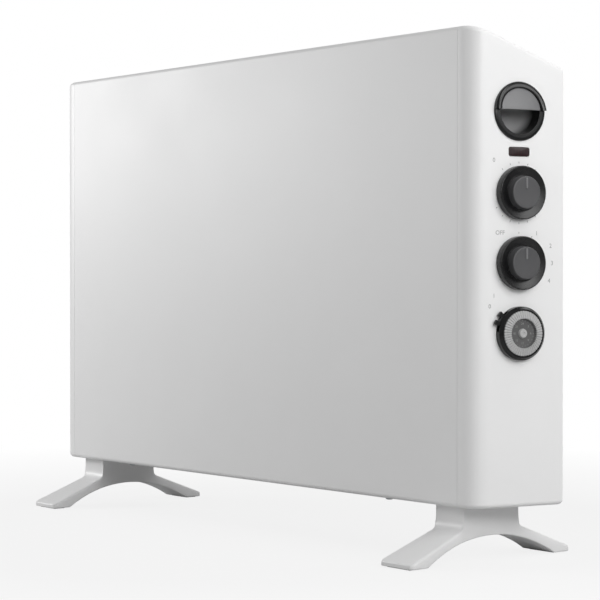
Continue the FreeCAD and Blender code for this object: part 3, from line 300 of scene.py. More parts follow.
# %% A finish for every node
FINISHES = {
    "white_enamel": powder_coat, "white_moulding": end_abs, "foot_moulding": foot_abs,
    "black_moulding": black_abs_and_painted_shade, "charcoal_moulding": charcoal_abs, "timer_grey": tab_acetal,
    "red_lens": red_acrylic, "zinc_steel": zinc_plate, "bright_sheet": bright_sheet,
    "fin_aluminium": extruded_bar, "bush_ceramic": steatite, "control_casing": phenolic,
    "wire_jacket": silicone, "foot_rubber": rubber,
}
SLOT_OF = {part["node"]: part["material_slot"] for part in frame["record"]["subparts"]}
for node, solid in frame["nodes"].items():
    solid.data.materials.clear()
    solid.data.materials.append(FINISHES[SLOT_OF[node]])
print("dressed", len(SLOT_OF), "nodes")

# %% [markdown]
# ## Meshes from grids of points
# A surface here is a grid: rows along a profile, columns around or along a path. Neighbouring points
# make four-sided faces. Poles and seams fall on the same spot, so merging doubles closes them, and
# the normals are made to point outwards once the skin is closed.

# %% Grid to mesh
MERGE = 0.002 * MM
SLIVER = 0.001 * MM
CRISP = 38.0


def grid_faces(rows, columns, wrap):
    """Corners of the face between two rows and two columns; wrap joins the last column to the first."""
    row = np.arange(rows - 1)[:, None] * columns
    column = np.arange(columns if wrap else columns - 1)[None, :]
    after = (column + 1) % columns
    corners = [row + column, row + after, row + columns + after, row + columns + column]
    return np.stack(corners, -1).reshape(-1, 4)


def smooth(mesh, sharp):
    """Shades a mesh as one curve, apart from edges that turn more than sharp degrees."""
    mesh.shade_smooth()
    mesh.set_sharp_from_angle(angle=math.radians(sharp))


def skin(name, grids):
    """One closed mesh from grids of points, each joined from its last column to its first."""
    points, faces, start = [], [], 0
    for grid in grids:
        rows, columns = grid.shape[:2]
        points.append(grid.reshape(-1, 3))
        faces.append(grid_faces(rows, columns, True) + start)
        start += rows * columns
    mesh = bpy.data.meshes.new(name)
    mesh.from_pydata(np.concatenate(points).tolist(), [], np.concatenate(faces).tolist())
    work = bmesh.new()
    work.from_mesh(mesh)
    bmesh.ops.remove_doubles(work, verts=work.verts, dist=MERGE)
    bmesh.ops.dissolve_degenerate(work, edges=work.edges, dist=SLIVER)
    bmesh.ops.recalc_face_normals(work, faces=work.faces)
    work.to_mesh(mesh)
    work.free()
    smooth(mesh, CRISP)
    return mesh


print("grid of 3 by 4 gives", len(grid_faces(3, 4, True)), "faces")

# %% Mesh to piece
def piece(name, body, slot, mesh, finish=None, stands_for=()):
    """An object at the origin that rides a body, takes a slot's finish, and may stand for CAD nodes."""
    mesh.materials.append(finish or FINISHES[slot])
    made = bpy.data.objects.new(name, mesh)
    scene.collection.objects.link(made)
    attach(made, body)
    if stands_for:
        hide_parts(*stands_for)
    print(name, len(mesh.vertices), "points", len(mesh.polygons), "faces")
    return made


def skinned(name, body, slot, grids, **options):
    """A piece whose mesh is one skin over grids of points."""
    piece(name, body, slot, skin(name, grids), **options)


print("slots to choose from", len(FINISHES))

# %% Profiles and turned forms
STRAIGHT = 1e-4


def rounded(corners, radii, steps=7):
    """Open profile whose inner corners become tangent arcs, each swung evenly between its two ends."""
    corners = np.array(corners, float)
    run = [corners[:1]]
    for index in range(1, len(corners) - 1):
        corner, radius = corners[index], radii[index]
        before = corners[index - 1] - corner
        after = corners[index + 1] - corner
        before, after = before / np.linalg.norm(before), after / np.linalg.norm(after)
        half = np.arccos(np.clip(before @ after, -1, 1)) / 2
        if radius == 0 or abs(half - math.pi / 2) < STRAIGHT:
            run.append(corner[None])
            continue
        middle = before + after
        centre = corner + middle / np.linalg.norm(middle) * radius / math.sin(half)
        first = corner + before * radius / math.tan(half) - centre
        last = corner + after * radius / math.tan(half) - centre
        swing = math.pi - 2 * half
        share = np.linspace(0, 1, steps)[:, None]
        arc = np.sin((1 - share) * swing) * first + np.sin(share * swing) * last
        run.append(centre + arc / math.sin(swing))
    run.append(corners[-1:])
    return np.concatenate(run)


def turned(profile, angles):
    """A profile of (out, radius) swept about the out axis: back = radius cos a, up = radius sin a."""
    out, radius = profile[:, 0:1], profile[:, 1:2]
    return np.stack(np.broadcast_arrays(out, radius * np.cos(angles), radius * np.sin(angles)), -1)


def around(count):
    """Evenly spaced angles of a full turn, without the repeated last one."""
    return np.linspace(0, 2 * math.pi, count, endpoint=False)


def signed_power(wave, power):
    """A wave's sign times its size to a power; below one, that draws an ellipse out to a superellipse."""
    return np.sign(wave) * np.abs(wave) ** power


print("a square corner rounds to", len(rounded([(0, 0), (1, 0), (1, 1)], [0, 0.5, 0])), "points")

# %% [markdown]
# ## Bends and fillets of the case
# The panels, the moulded ends, the bezel, its lever, the gland and the pads have the right shape, but
# their solids come as loose triangles that shade flat, so a bend shows as strips. A copy whose
# triangles are merged can shade as one curve. Joining the triangles of each flat face first, and
# letting large faces lead the shading, keeps the flat parts perfectly flat.

# %% Merged copies that shade smoothly
BODIES = frame["record"]["behaviour"]["bodies"]
BODY_OF = {node: body for body, nodes in BODIES.items() for node in nodes}
FOLD = 30.0
FLAT = 0.5
SOFT_EDGE = 0.25


def softened(node, edge_mm=0.0):
    """A solid's own triangles, merged, with flat faces joined, and its edges rounded off by edge_mm when that is
    given.
    """
    mesh = frame["nodes"][node].data.copy()
    mesh.name = node + "_skin"
    work = bmesh.new()
    work.from_mesh(mesh)
    bmesh.ops.remove_doubles(work, verts=work.verts, dist=MERGE)
    bmesh.ops.dissolve_limit(work, angle_limit=math.radians(FLAT), verts=work.verts, edges=work.edges)
    work.to_mesh(mesh)
    work.free()
    smooth(mesh, FOLD)
    mesh.materials.clear()
    made = piece(node + "_skin", BODY_OF[node], SLOT_OF[node], mesh, stands_for=[node])
    if edge_mm:
        edge = made.modifiers.new("soft_edges", "BEVEL")
        edge.width = edge_mm * MM
        edge.segments = 2
        edge.limit_method = "ANGLE"
        edge.angle_limit = math.radians(FOLD)
    made.modifiers.new("flat_faces_lead", "WEIGHTED_NORMAL").keep_sharp = True


for node in ("front_panel", "rear_panel", "right_end_cap", "left_end_cap"):
    softened(node)
for node in ("timer_bezel", "timer_lever", "cord_gland", "foot_pads"):
    softened(node, edge_mm=SOFT_EDGE)

# %% [markdown]
# ## Knobs
# Each knob has a skirt with a dished face, and a dark grey grip in the middle with a raised pointer. Skirt and
# grip are one dark grey moulding; the skirt is drawn black, which is painted shade. Turning a rounded profile
# gives both forms. Rounding every edge by a millimetre or less is what makes a moulding catch light along its
# rims.

# %% Knob
KNOB_GAP, POINTER_TOP, KNOB_R = measured("thermostat_knob", THERMOSTAT)
SKIRT_TOP = 7.5
SKIRT_WALL = 2.0
SKIRT_DRAFT = 0.2
SKIRT_ROUNDS = (0, 0.4, 0.3, 0.3, 0.8, 0.7, 0)
HOLLOW = 4.2
HOLLOW_R = 18.5
DISH_FLOOR = 5.7
DISH_R = 15.6
GRIP_FOOT = DISH_FLOOR - 0.4
GRIP_R = 14.2
GRIP_TOP = 12.2
GRIP_ROUND = 0.8
GRIP_FACE_R = 13.4
FACE_SHARE = 0.9
FACE_DIP = 0.25
POINTER_START = 3.0
POINTER_INSET = 1.2
POINTER_HALF = 0.95
POINTER_SPARE = 0.1


def knob_skirt(columns=192):
    """Turned profile: hollow underside, wall, rounded rim, then a face that dips to the grip's foot."""
    corners = [(HOLLOW, 0), (HOLLOW, HOLLOW_R), (KNOB_GAP, KNOB_R - SKIRT_WALL), (KNOB_GAP, KNOB_R),
               (SKIRT_TOP, KNOB_R - SKIRT_DRAFT), (DISH_FLOOR, DISH_R), (DISH_FLOOR, 0)]
    return turned(rounded(corners, SKIRT_ROUNDS), around(columns))


def knob_grip(columns=192):
    """Turned profile: tapered wall, rounded edge, and a face that sinks by a hair towards the middle."""
    face = np.linspace(FACE_SHARE, 0, 8)
    dip = np.stack([GRIP_TOP - FACE_DIP * (1 - (face / FACE_SHARE) ** 2), face * GRIP_FACE_R], -1)
    wall = rounded([(GRIP_FOOT, 0), (GRIP_FOOT, GRIP_R), (GRIP_TOP, GRIP_FACE_R),
                    (GRIP_TOP, FACE_SHARE * GRIP_FACE_R)], [0, 0, GRIP_ROUND, 0])
    return turned(np.concatenate([wall[:-1], dip]), around(columns))


def knob_pointer(rows=33, columns=24):
    """Half-sunk bar: an ellipse swept along the radius, its width closing as a half circle at both ends."""
    along = np.linspace(-1, 1, rows)
    end = GRIP_FACE_R - POINTER_INSET
    length, middle = (end - POINTER_START) / 2, (end + POINTER_START) / 2
    past = np.clip((np.abs(along) * length - (length - POINTER_HALF)) / POINTER_HALF, 0, 1)
    width = POINTER_HALF * np.sqrt(1 - past ** 2)
    angle = around(columns)
    rise = POINTER_TOP - GRIP_TOP - POINTER_SPARE
    out = GRIP_TOP + rise * np.sin(angle) * (width / POINTER_HALF)[:, None]
    back = width[:, None] * np.cos(angle)
    up = np.broadcast_to((middle + along * length)[:, None], out.shape)
    return np.stack([out, back, up], -1)


# The skirts take the black finish: painted shade on what is the grips' dark grey moulding.
for name, centre in (("thermostat", THERMOSTAT), ("selector", SELECTOR)):
    body = name + "_dial"
    skinned(name + "_skirt", body, "black_moulding", [on_end(knob_skirt(), centre)])
    skinned(name + "_grip", body, "charcoal_moulding", [on_end(knob_grip(), centre)],
            stands_for=[name + "_knob"])
    skinned(name + "_pointer", body, "timer_grey", [on_end(knob_pointer(), centre)], finish=hood_abs)

# %% [markdown]
# ## Finger grips
# A round cup is let into each end for carrying, black at the rim, and deeper in its well the black turns to a pale
# grey that is painted light, standing for the light that falls into the well.
# Its upper half is covered by a sloping grey hood whose straight lip the fingers hook behind, and the
# rim swells with it. The cup is a turned profile whose rim height depends on the angle. The hood is a
# thin plate with rounded edges, so a flattened superellipse is carried across its width and closes.

# %% Finish of the cup
def two_shot(material, inner, edge_mm, blend_mm):
    """Paints light into the well: blends a paler colour in from edge_mm behind the end face on; |x| out_x + y
    out_y is how far out.
    """
    tree = material.node_tree
    shader = tree.nodes["Principled BSDF"]
    place = add_node(tree, "ShaderNodeTexCoord").outputs["Object"]
    axes = add_node(tree, "ShaderNodeSeparateXYZ", {"Vector": place}).outputs
    either = add_node(tree, "ShaderNodeMath", {0: axes["X"]}, operation="ABSOLUTE").outputs["Value"]
    along = add_node(tree, "ShaderNodeMath", {0: either, 1: OUT[0]}, operation="MULTIPLY").outputs["Value"]
    out = add_node(tree, "ShaderNodeMath", {
        0: axes["Y"], 1: OUT[1], 2: along}, operation="MULTIPLY_ADD").outputs["Value"]
    edge = HANDLE @ OUT - edge_mm * MM
    share = add_node(tree, "ShaderNodeMapRange", {
        "Value": out, "From Min": edge - blend_mm * MM, "From Max": edge}).outputs["Result"]
    tint = shader.inputs["Base Color"].links[0].from_socket
    both = add_node(tree, "ShaderNodeMix", {
        "Factor": share, "A": linear(inner), "B": tint}, data_type="RGBA").outputs["Result"]
    tree.links.new(both, shader.inputs["Base Color"])


# The grips' cups: deep black at the rim, fading deeper in to a pale grey well: painted light, for the light that
# falls into the well below the hood.
cup_with_painted_light = grained("two_shot_abs_black_and_grey", "#101011", "#0b0b0c", 0.24, 0.7, 0.005, 18.0)
two_shot(cup_with_painted_light, "#a8a8a9", edge_mm=8.0, blend_mm=9.0)
print("cup finish", cup_with_painted_light.name)

# %% Grip cup
CUP_BACK, LIP_OUT, CUP_R = measured("right_handle_cup", HANDLE)
CUP_NECK_R = 21.6
CUP_OPENING_R = 19.2
OPENING_ROUND = 0.2
CUP_FLOOR = CUP_BACK + 1.6
CUP_FLOOR_R = CUP_OPENING_R - 1
CUP_FLOOR_ROUND = 16.0
CUP_RIM = 2.0
RIM_WALL = 0.55
RIM_ROUND = 0.45
SWELL_R = 19.5
SWELL_STEP = 0.01
LIP_RISE = 1.0
LIP_R = CUP_R - 1.7
LIP_SLIT = 0.0006
HOOD_SLOPE = (LIP_OUT - CUP_RIM) / (CUP_R - LIP_RISE)


def hood_plane(up):
    """Height of the sloping upper half above the end face: it falls evenly from the lip to the top."""
    return CUP_RIM + HOOD_SLOPE * (CUP_R - up)


def cup_surface(half=72):
    """Turned profile with a half-round rim; above the lip the rim is lifted to the hood's sloping plane."""
    lip = math.asin(LIP_RISE / LIP_R)
    angles = np.concatenate([
        np.linspace(lip + LIP_SLIT, math.pi - lip - LIP_SLIT, half),
        np.linspace(math.pi - lip + LIP_SLIT, 2 * math.pi + lip - LIP_SLIT, half)])
    shell = np.array([(CUP_BACK, 0), (CUP_BACK, CUP_NECK_R), (0, CUP_NECK_R)])
    bend = np.linspace(0, math.pi, 15)
    middle, half_rim = (CUP_R + SWELL_R) / 2, (CUP_R - SWELL_R) / 2
    rim = np.stack([RIM_WALL + RIM_ROUND * np.sin(bend), middle + half_rim * np.cos(bend)], -1)
    rim = np.concatenate([[(0, CUP_R)], rim, [(0, SWELL_R)]])
    well = rounded([(CUP_RIM, SWELL_R - SWELL_STEP), (CUP_RIM, CUP_OPENING_R), (CUP_FLOOR, CUP_FLOOR_R),
                    (CUP_FLOOR, 0)], [0, OPENING_ROUND, CUP_FLOOR_ROUND, 0], steps=11)
    surface = turned(np.concatenate([shell, rim, well]), angles)
    raised = np.sin(angles) * LIP_R > LIP_RISE
    ring = slice(len(shell), len(shell) + len(rim))
    lift = np.where(raised, hood_plane(surface[ring, :, 2]), CUP_RIM)
    low = np.where(np.arange(len(rim)) > len(rim) / 2, CUP_RIM, 0.0)[:, None]
    surface[ring, :, 0] = low + rim[:, 0:1] * (lift - low)
    return surface


print("cup grid", cup_surface().shape)

# %% Grip hood, and both grips
HOOD_R = SWELL_R - 0.3
HOOD_WALL = 2.5
HOOD_SINK = 0.5
HOOD_FALL = 1.5
HOOD_TOP_FALL = 0.5
HOOD_POWER = 0.22
HOOD_CLOSING = 24


def hood_surface(rows=81, columns=72):
    """Superellipse between the hood's plane and a wall behind it, carried across until it closes."""
    reach = math.sqrt(HOOD_R ** 2 - LIP_RISE ** 2)
    share = np.sin(np.linspace(-math.pi / 2, math.pi / 2, rows))[:, None]
    across = reach * share
    top = np.sqrt(HOOD_R ** 2 - across ** 2)
    middle, half = (top + LIP_RISE) / 2, (top - LIP_RISE) / 2
    thick = HOOD_WALL / 2 * np.sqrt(np.maximum(1 - share ** HOOD_CLOSING, 0))
    angle = around(columns)
    up = middle + half * signed_power(np.cos(angle), HOOD_POWER)
    out = hood_plane(up) - HOOD_SINK - HOOD_WALL / 2 + thick * signed_power(np.sin(angle), HOOD_POWER)
    out = out - HOOD_FALL * ((across / HOOD_R) ** 2 + HOOD_TOP_FALL * (up / HOOD_R) ** 2)
    return np.stack([out, np.broadcast_to(across, out.shape), up], -1)


for side, flip in SIDES:
    skinned(side + "_grip_cup", "case", "black_moulding", [on_end(cup_surface(), HANDLE) * flip],
            finish=cup_with_painted_light, stands_for=[side + "_handle_cup"])
    skinned(side + "_grip_hood", "case", "charcoal_moulding", [on_end(hood_surface(), HANDLE) * flip],
            finish=hood_abs, stands_for=[side + "_handle_hood"])

# %% [markdown]
# ## Pilot lamp
# The lens is a small rounded window that stands a millimetre proud of the end. Its outline is a
# superellipse, which has soft corners without separate arcs, and it closes to a low dome.

# %% Lens window
LENS_OUT = measured("pilot_lamp_lens", LAMP)[1]
LENS_HALF_BACK = 10.0
LENS_HALF_UP = 3.8
LENS_DEPTH = 2.4
LENS_POWER = 0.3
LENS_WALL = LENS_OUT - 0.65
LENS_EDGE_RISE = 0.45
LENS_EDGE_INNER = 0.93
LENS_EDGE_SHARE = 0.07
LENS_DOME_SHARE = 0.9
LENS_DOME_RISE = 0.2


def lens_surface(columns=96):
    """Superellipse outline scaled along a profile: straight wall, rounded edge, then a shallow dome."""
    edge = np.linspace(0, math.pi / 2, 9)
    wall = np.array([(-LENS_DEPTH, 0.0), (-LENS_DEPTH, 1.0)])
    bend = np.stack([LENS_WALL + LENS_EDGE_RISE * np.sin(edge),
                     LENS_EDGE_INNER + LENS_EDGE_SHARE * np.cos(edge)], -1)
    dome = np.linspace(LENS_DOME_SHARE, 0, 12)
    crown = np.stack([LENS_OUT - LENS_DOME_RISE * (dome / LENS_DOME_SHARE) ** 2, dome], -1)
    profile = np.concatenate([wall, bend, crown])
    angle = around(columns)
    back = signed_power(np.cos(angle), LENS_POWER) * LENS_HALF_BACK
    up = signed_power(np.sin(angle), LENS_POWER) * LENS_HALF_UP
    scale = profile[:, 1:2]
    return np.stack(np.broadcast_arrays(profile[:, 0:1], scale * back, scale * up), -1)


skinned("lamp_lens", "case", "red_lens", [on_end(lens_surface(), LAMP)], stands_for=["pilot_lamp_lens"])

# %% [markdown]
# ## Day timer
# The day wheel turns once a day and carries a ring of small grey tabs, one for each half hour, which
# are pushed in or out to set the hours. The wheel is a turned dish. One tab is a rounded wedge: a
# superellipse carried along the radius that grows as it goes out and closes at both ends. Turning
# that one tab by equal steps gives the ring.

# %% Wheel and hub
DIAL_UNDER, HUB_TOP, DIAL_R = measured("timer_dial", TIMER)
DIAL_LAND = 6.4
DIAL_FACE = 5.6
DIAL_ROUND = 0.2
TAB_INNER_R = 12.2
LAND_INNER_R = TAB_INNER_R - 0.35
DIAL_FACE_R = TAB_INNER_R - 0.7
HUB_FOOT = DIAL_FACE - 0.3
HUB_R = 4.2
HUB_TOP_R = HUB_R - 0.8
HUB_ROUND = 0.7
DIMPLE = HUB_TOP - 0.5
DIMPLE_R = 1.6
DIMPLE_FLOOR_R = 1.1


def wheel_surface(columns=144):
    """Turned profile: flat underside, rim, land for the tabs, and a face that is let in below it."""
    corners = [(DIAL_UNDER, 0), (DIAL_UNDER, DIAL_R), (DIAL_LAND, DIAL_R), (DIAL_LAND, LAND_INNER_R),
               (DIAL_FACE, DIAL_FACE_R), (DIAL_FACE, 0)]
    return turned(rounded(corners, [0] + [DIAL_ROUND] * 4 + [0]), around(columns))


def hub_surface(columns=64):
    """Turned profile: a tapered boss whose top is rounded over and sinks a little in the middle."""
    corners = [(HUB_FOOT, 0), (HUB_FOOT, HUB_R), (HUB_TOP, HUB_TOP_R), (HUB_TOP, DIMPLE_R),
               (DIMPLE, DIMPLE_FLOOR_R), (DIMPLE, 0)]
    return turned(rounded(corners, [0, 0, HUB_ROUND, DIAL_ROUND, DIAL_ROUND, 0]), around(columns))


skinned("day_wheel", "timer_wheel", "charcoal_moulding", [on_end(wheel_surface(), TIMER)],
        finish=wheel_acetal, stands_for=["timer_dial"])
skinned("day_wheel_hub", "timer_wheel", "timer_grey", [on_end(hub_surface(), TIMER)])

# %% Tabs
TAB_UNDER, TAB_TOP, TAB_OUTER_R = measured("timer_tabs", TIMER)
TAB_COUNT = 48
TAB_GAP = 0.22
TAB_FALL = 1.4
TAB_SPARE = 0.1
TAB_POWER = 0.4
TAB_RIBS = (0, 0.03, 0.09, 0.2, 0.5, 0.8, 0.91, 0.97, 1.0)
TAB_STRAIGHT = 0.82
TAB_CLOSING = 0.18
TAB_END_HEIGHT = 0.35


def tab_surface(turn, columns=14):
    """Superellipse of half width r tan(half step), carried out along r while its top falls, then turned."""
    share = np.array(TAB_RIBS)[:, None]
    past = np.clip((np.abs(2 * share - 1) - TAB_STRAIGHT) / TAB_CLOSING, 0, 1)
    close = np.sqrt(1 - past ** 2)
    radius = TAB_INNER_R + share * (TAB_OUTER_R - TAB_SPARE - TAB_INNER_R)
    half = (radius * math.tan(math.pi / TAB_COUNT) - TAB_GAP / 2) * close
    angle = around(columns)
    side = half * signed_power(np.cos(angle), TAB_POWER)
    top = TAB_TOP - TAB_FALL * share
    middle, tall = (top + TAB_UNDER) / 2, (top - TAB_UNDER) / 2
    height = tall * (TAB_END_HEIGHT + (1 - TAB_END_HEIGHT) * close)
    out = middle + height * signed_power(np.sin(angle), TAB_POWER)
    back = radius * math.cos(turn) - side * math.sin(turn)
    up = radius * math.sin(turn) + side * math.cos(turn)
    return np.stack(np.broadcast_arrays(out, back, up), -1)


tabs = [on_end(tab_surface(turn), TIMER) for turn in around(TAB_COUNT)]
skinned("day_wheel_tabs", "timer_wheel", "timer_grey", tabs, stands_for=["timer_tabs"])

# %% [markdown]
# ## Printed marks
# The settings are printed on the end beside each control, and the hours on the day wheel, in thin
# grey ink. Blender's own text gives the numbers. Each is made a mesh while it still lies flat, and
# is then laid on the face with the same formula as every other piece. Short strokes make the ticks.

# %% Print
INK = 0.03


def printed(text, size):
    """Flat text of a height in millimetres, a hair thick, as points of (out, back, up) and faces."""
    curve = bpy.data.curves.new("text", "FONT")
    curve.body = text
    curve.size = size
    curve.extrude = INK
    curve.resolution_u = 3
    curve.align_x = "CENTER"
    curve.align_y = "CENTER"
    holder = bpy.data.objects.new("text", curve)
    mesh = bpy.data.meshes.new_from_object(holder)
    flat = np.empty(len(mesh.vertices) * 3)
    mesh.vertices.foreach_get("co", flat)
    faces = [list(polygon.vertices) for polygon in mesh.polygons]
    bpy.data.objects.remove(holder)
    bpy.data.meshes.remove(mesh)
    return flat.reshape(-1, 3)[:, [2, 0, 1]], faces


def stroke(start, end, width):
    """Thin block from start to end, both (back, up) in millimetres, as points and faces."""
    start, end = np.array(start, float), np.array(end, float)
    along = (end - start) / np.linalg.norm(end - start)
    side = np.array((-along[1], along[0])) * width / 2
    flat = np.array([start - side, end - side, end + side, start + side])
    points = np.concatenate([np.insert(flat, 0, -INK, 1), np.insert(flat, 0, INK, 1)])
    faces = [[3, 2, 1, 0], [4, 5, 6, 7], [0, 1, 5, 4], [1, 2, 6, 5], [2, 3, 7, 6], [3, 0, 4, 7]]
    return points, faces


def ink_mesh(name, marks):
    """One mesh from (points, faces, centre, (out, back, up) shift) marks."""
    points, faces, start = [], [], 0
    for flat, corners, centre, shift in marks:
        points.append(on_end(flat + np.array(shift), centre))
        faces += [[corner + start for corner in face] for face in corners]
        start += len(flat)
    mesh = bpy.data.meshes.new(name)
    mesh.from_pydata(np.concatenate(points).tolist(), [], faces)
    return mesh


def ray(turn):
    """Direction of (back, up) on the face, turned from straight up towards the back."""
    return np.array((math.sin(turn), math.cos(turn)))


print("a stroke has", len(stroke((0, 0), (0, 1), 1)[1]), "faces")

# %% Marks beside the controls
MARKS = [
    (THERMOSTAT, "0", 5.0, -24.5, 26.7),
    (SELECTOR, "OFF", 5.2, -18.5, 25.0), (SELECTOR, "1", 5.2, 17.6, 24.8),
    (SELECTOR, "2", 5.2, 31.5, 14.5), (SELECTOR, "3", 5.2, 33.0, 0.0), (SELECTOR, "4", 5.2, 30.0, -14.8),
    (TIMER, "I", 5.0, -24.4, 31.2), (TIMER, "0", 5.0, -28.5, 22.4),
]
SCALES = ((THERMOSTAT, -40, 240, 15), (SELECTOR, 0, 120, 5))
TICK_FROM, TICK_TO, TICK_WIDTH = 24.4, 26.0, 0.5
end_marks = [(*printed(text, size), centre, (0.0, back, up)) for centre, text, size, back, up in MARKS]
for centre, first, last, count in SCALES:
    for turn in np.radians(np.linspace(first, last, count)):
        tick = stroke(ray(turn) * TICK_FROM, ray(turn) * TICK_TO, TICK_WIDTH)
        end_marks.append((*tick, centre, (0.0, 0.0, 0.0)))
piece("end_print", "case", "timer_grey", ink_mesh("end_print", end_marks), finish=grey_ink)

# %% Hours on the day wheel
DAY = 24
NUMBER_EVERY = 3
NUMBER_SIZE, NUMBER_R = 2.6, 8.1
HOUR_FROM, HOUR_TO, HOUR_WIDTH = 10.2, 11.2, 0.28
FACE_HEIGHT = DIAL_FACE + INK / 2
hours = []
for hour in range(DAY):
    way = ray(2 * math.pi * hour / DAY)
    tick = stroke(way * HOUR_FROM, way * HOUR_TO, HOUR_WIDTH)
    hours.append((*tick, TIMER, (FACE_HEIGHT, 0.0, 0.0)))
    if hour % NUMBER_EVERY == 0:
        number = printed(str(hour or DAY), NUMBER_SIZE)
        hours.append((*number, TIMER, (FACE_HEIGHT, *(way * NUMBER_R))))
piece("hour_print", "timer_wheel", "timer_grey", ink_mesh("hour_print", hours), finish=grey_ink)

# %% [markdown]
# ## Feet
# Each foot is one arched moulding: a block under the case, and two arms that splay and thin out to
# the toes. In side view it is the space between a top line and the arch below it. Ribs join the two
# lines, and each rib grows a rounded rectangle as wide as the foot is there. The two lines meet at
# the nose of each toe, so the skin closes by itself.

# %% Foot lines
FOOT_LOW, FOOT_HIGH = (np.array(corner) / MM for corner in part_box("right_foot"))
FOOT_X = (FOOT_LOW[0] + FOOT_HIGH[0]) / 2
HALF_LENGTH = FOOT_HIGH[1]
SOLE, SEAT = FOOT_LOW[2], FOOT_HIGH[2]
NOSE = SOLE + 1.6
TOE_TOP = SOLE + 4.0
NECK_HALF = 32.0
SHOULDER = SEAT - 19.5
CROWN = 22.0
TOE_FLAT = 20.0
NECK_WIDTH = 34.0
SPLAY = FOOT_HIGH[0] - FOOT_LOW[0] - NECK_WIDTH
TOE_ROUND = 1.6
SOLE_ROUND = 0.8
SOLE_RUN = 6
SHOULDER_ROUND = 9.0
NECK_ROOT = 3
ARC = 9
NOSE_RIBS, ARM_RIBS, BEND_RIBS, WALL_RIBS, SEAT_RIBS = 10, 30, 12, 8, 12


def arch(y):
    """Underside: flat under the toes, and between them a circle through their heels and the crown."""
    heel, rise = HALF_LENGTH - TOE_FLAT, CROWN - SOLE
    radius = (heel ** 2 + rise ** 2) / (2 * rise)
    return np.where(np.abs(y) < heel, CROWN - radius + np.sqrt(np.maximum(radius ** 2 - y ** 2, 0)), SOLE)


def spread(line, count):
    """A line's points set out again at equal steps along its length."""
    length = np.concatenate([[0], np.cumsum(np.linalg.norm(np.diff(line, axis=0), axis=1))])
    steps = np.linspace(0, length[-1], count)
    return np.stack([np.interp(steps, length, line[:, 0]), np.interp(steps, length, line[:, 1])], -1)


def foot_lines():
    """Matched points of the top line and the arch, from the front toe's nose to the rear toe's."""
    top = rounded([(-HALF_LENGTH, NOSE), (-HALF_LENGTH, TOE_TOP), (-NECK_HALF, SHOULDER),
                   (-NECK_HALF, SEAT)], [0, TOE_ROUND, SHOULDER_ROUND, 0], steps=ARC)
    nose, arm, bend, wall = top[:ARC + 1], top[ARC:ARC + 2], top[ARC + 1:2 * ARC + 1], top[2 * ARC:]
    seat = np.array([(-NECK_HALF, SEAT), (0, SEAT)])
    sole = rounded([(-HALF_LENGTH, NOSE), (-HALF_LENGTH, SOLE), (-HALF_LENGTH + SOLE_RUN, SOLE)],
                   [0, SOLE_ROUND, 0], steps=ARC)[:ARC + 1]
    counts = (ARM_RIBS, BEND_RIBS, WALL_RIBS, SEAT_RIBS)
    upper = [spread(nose, NOSE_RIBS)]
    upper += [spread(run, count) for run, count in zip((arm, bend, wall, seat), counts)]
    heels = [sole[-1, 0], bend[0, 0], -NECK_HALF - NECK_ROOT, -NECK_HALF + NECK_ROOT, 0]
    lower = [spread(sole, NOSE_RIBS)]
    for start, end, count in zip(heels, heels[1:], counts):
        y = np.linspace(start, end, count)
        lower.append(np.stack([y, arch(y)], -1))
    upper = np.concatenate([upper[0]] + [run[1:] for run in upper[1:]])
    lower = np.concatenate([lower[0]] + [run[1:] for run in lower[1:]])
    flip = np.array((-1, 1))
    return np.concatenate([upper, upper[-2::-1] * flip]), np.concatenate([lower, lower[-2::-1] * flip])


print("ribs of a foot", len(foot_lines()[0]))

# %% Foot skin
TINY = 1e-6
TOE_CORNER = 6.0
NOSE_FLAT = 1.6
NOSE_INSET = 0.8
SPLAY_EASE = 0.01
SEAT_BLEND = 6
SEAT_SHARP = 0.9
TOP_ROUND = 2.6
LOW_ROUND = 1.2
RIB_SHARE = 0.45


def foot_surface(arc=6):
    """Rounded rectangle on each rib: four quarter arcs about corners set in from its ends and sides."""
    top, low = foot_lines()
    rib = top - low
    tall = np.linalg.norm(rib, axis=1)
    along = rib / np.maximum(tall, TINY)[:, None]
    y = np.abs(top[:, 0])
    out = (y - NECK_HALF) / (HALF_LENGTH - NECK_HALF)
    width = NECK_WIDTH + SPLAY * (np.sqrt(out ** 2 + SPLAY_EASE) + out) / 2
    past = np.clip(y - HALF_LENGTH + TOE_CORNER, 0, TOE_CORNER)
    half = width / 2 - TOE_CORNER + np.sqrt(np.maximum(TOE_CORNER ** 2 - past ** 2, 0))
    half = half - NOSE_INSET * np.clip(1 - tall / NOSE_FLAT, 0, 1)
    seated = np.clip((top[:, 1] - SEAT + SEAT_BLEND) / SEAT_BLEND, 0, 1)
    top_r = np.minimum(TOP_ROUND * (1 - SEAT_SHARP * seated), RIB_SHARE * tall)[:, None]
    low_r = np.minimum(LOW_ROUND, RIB_SHARE * tall)[:, None]
    in_top, in_low, in_tall = half[:, None] - top_r, half[:, None] - low_r, tall[:, None] - top_r
    turn = np.linspace(0, math.pi / 2, arc)
    side, rise = np.cos(turn), np.sin(turn)
    across = np.concatenate([in_top + top_r * side, -in_top - top_r * side[::-1],
                             -in_low - low_r * side, in_low + low_r * side[::-1]], 1)
    height = np.concatenate([in_tall + top_r * rise, in_tall + top_r * rise[::-1],
                             low_r - low_r * rise, low_r - low_r * rise[::-1]], 1)
    spine = low[:, None, :] + height[..., None] * along[:, None, :]
    return np.stack([FOOT_X + across, spine[..., 0], spine[..., 1]], -1)


print("points around a rib", foot_surface().shape[1])

# %% Feet with their screw wells
WELL_R = 4.5
WELL_TOP = SEAT - 8.0
WELL_SPREAD = 16.0
CUT_MERGE = 0.005 * MM


def well_surface(y, columns=40):
    """Turned bar that reaches up into the neck from below, about an upright axis."""
    profile = np.array([(0.0, 0.0), (0.0, WELL_R), (WELL_TOP, WELL_R), (WELL_TOP, 0.0)])
    angle = around(columns)
    height, radius = profile[:, 0:1], profile[:, 1:2]
    ring_x, ring_y = FOOT_X + radius * np.cos(angle), y + radius * np.sin(angle)
    return np.stack(np.broadcast_arrays(ring_x, ring_y, height), -1)


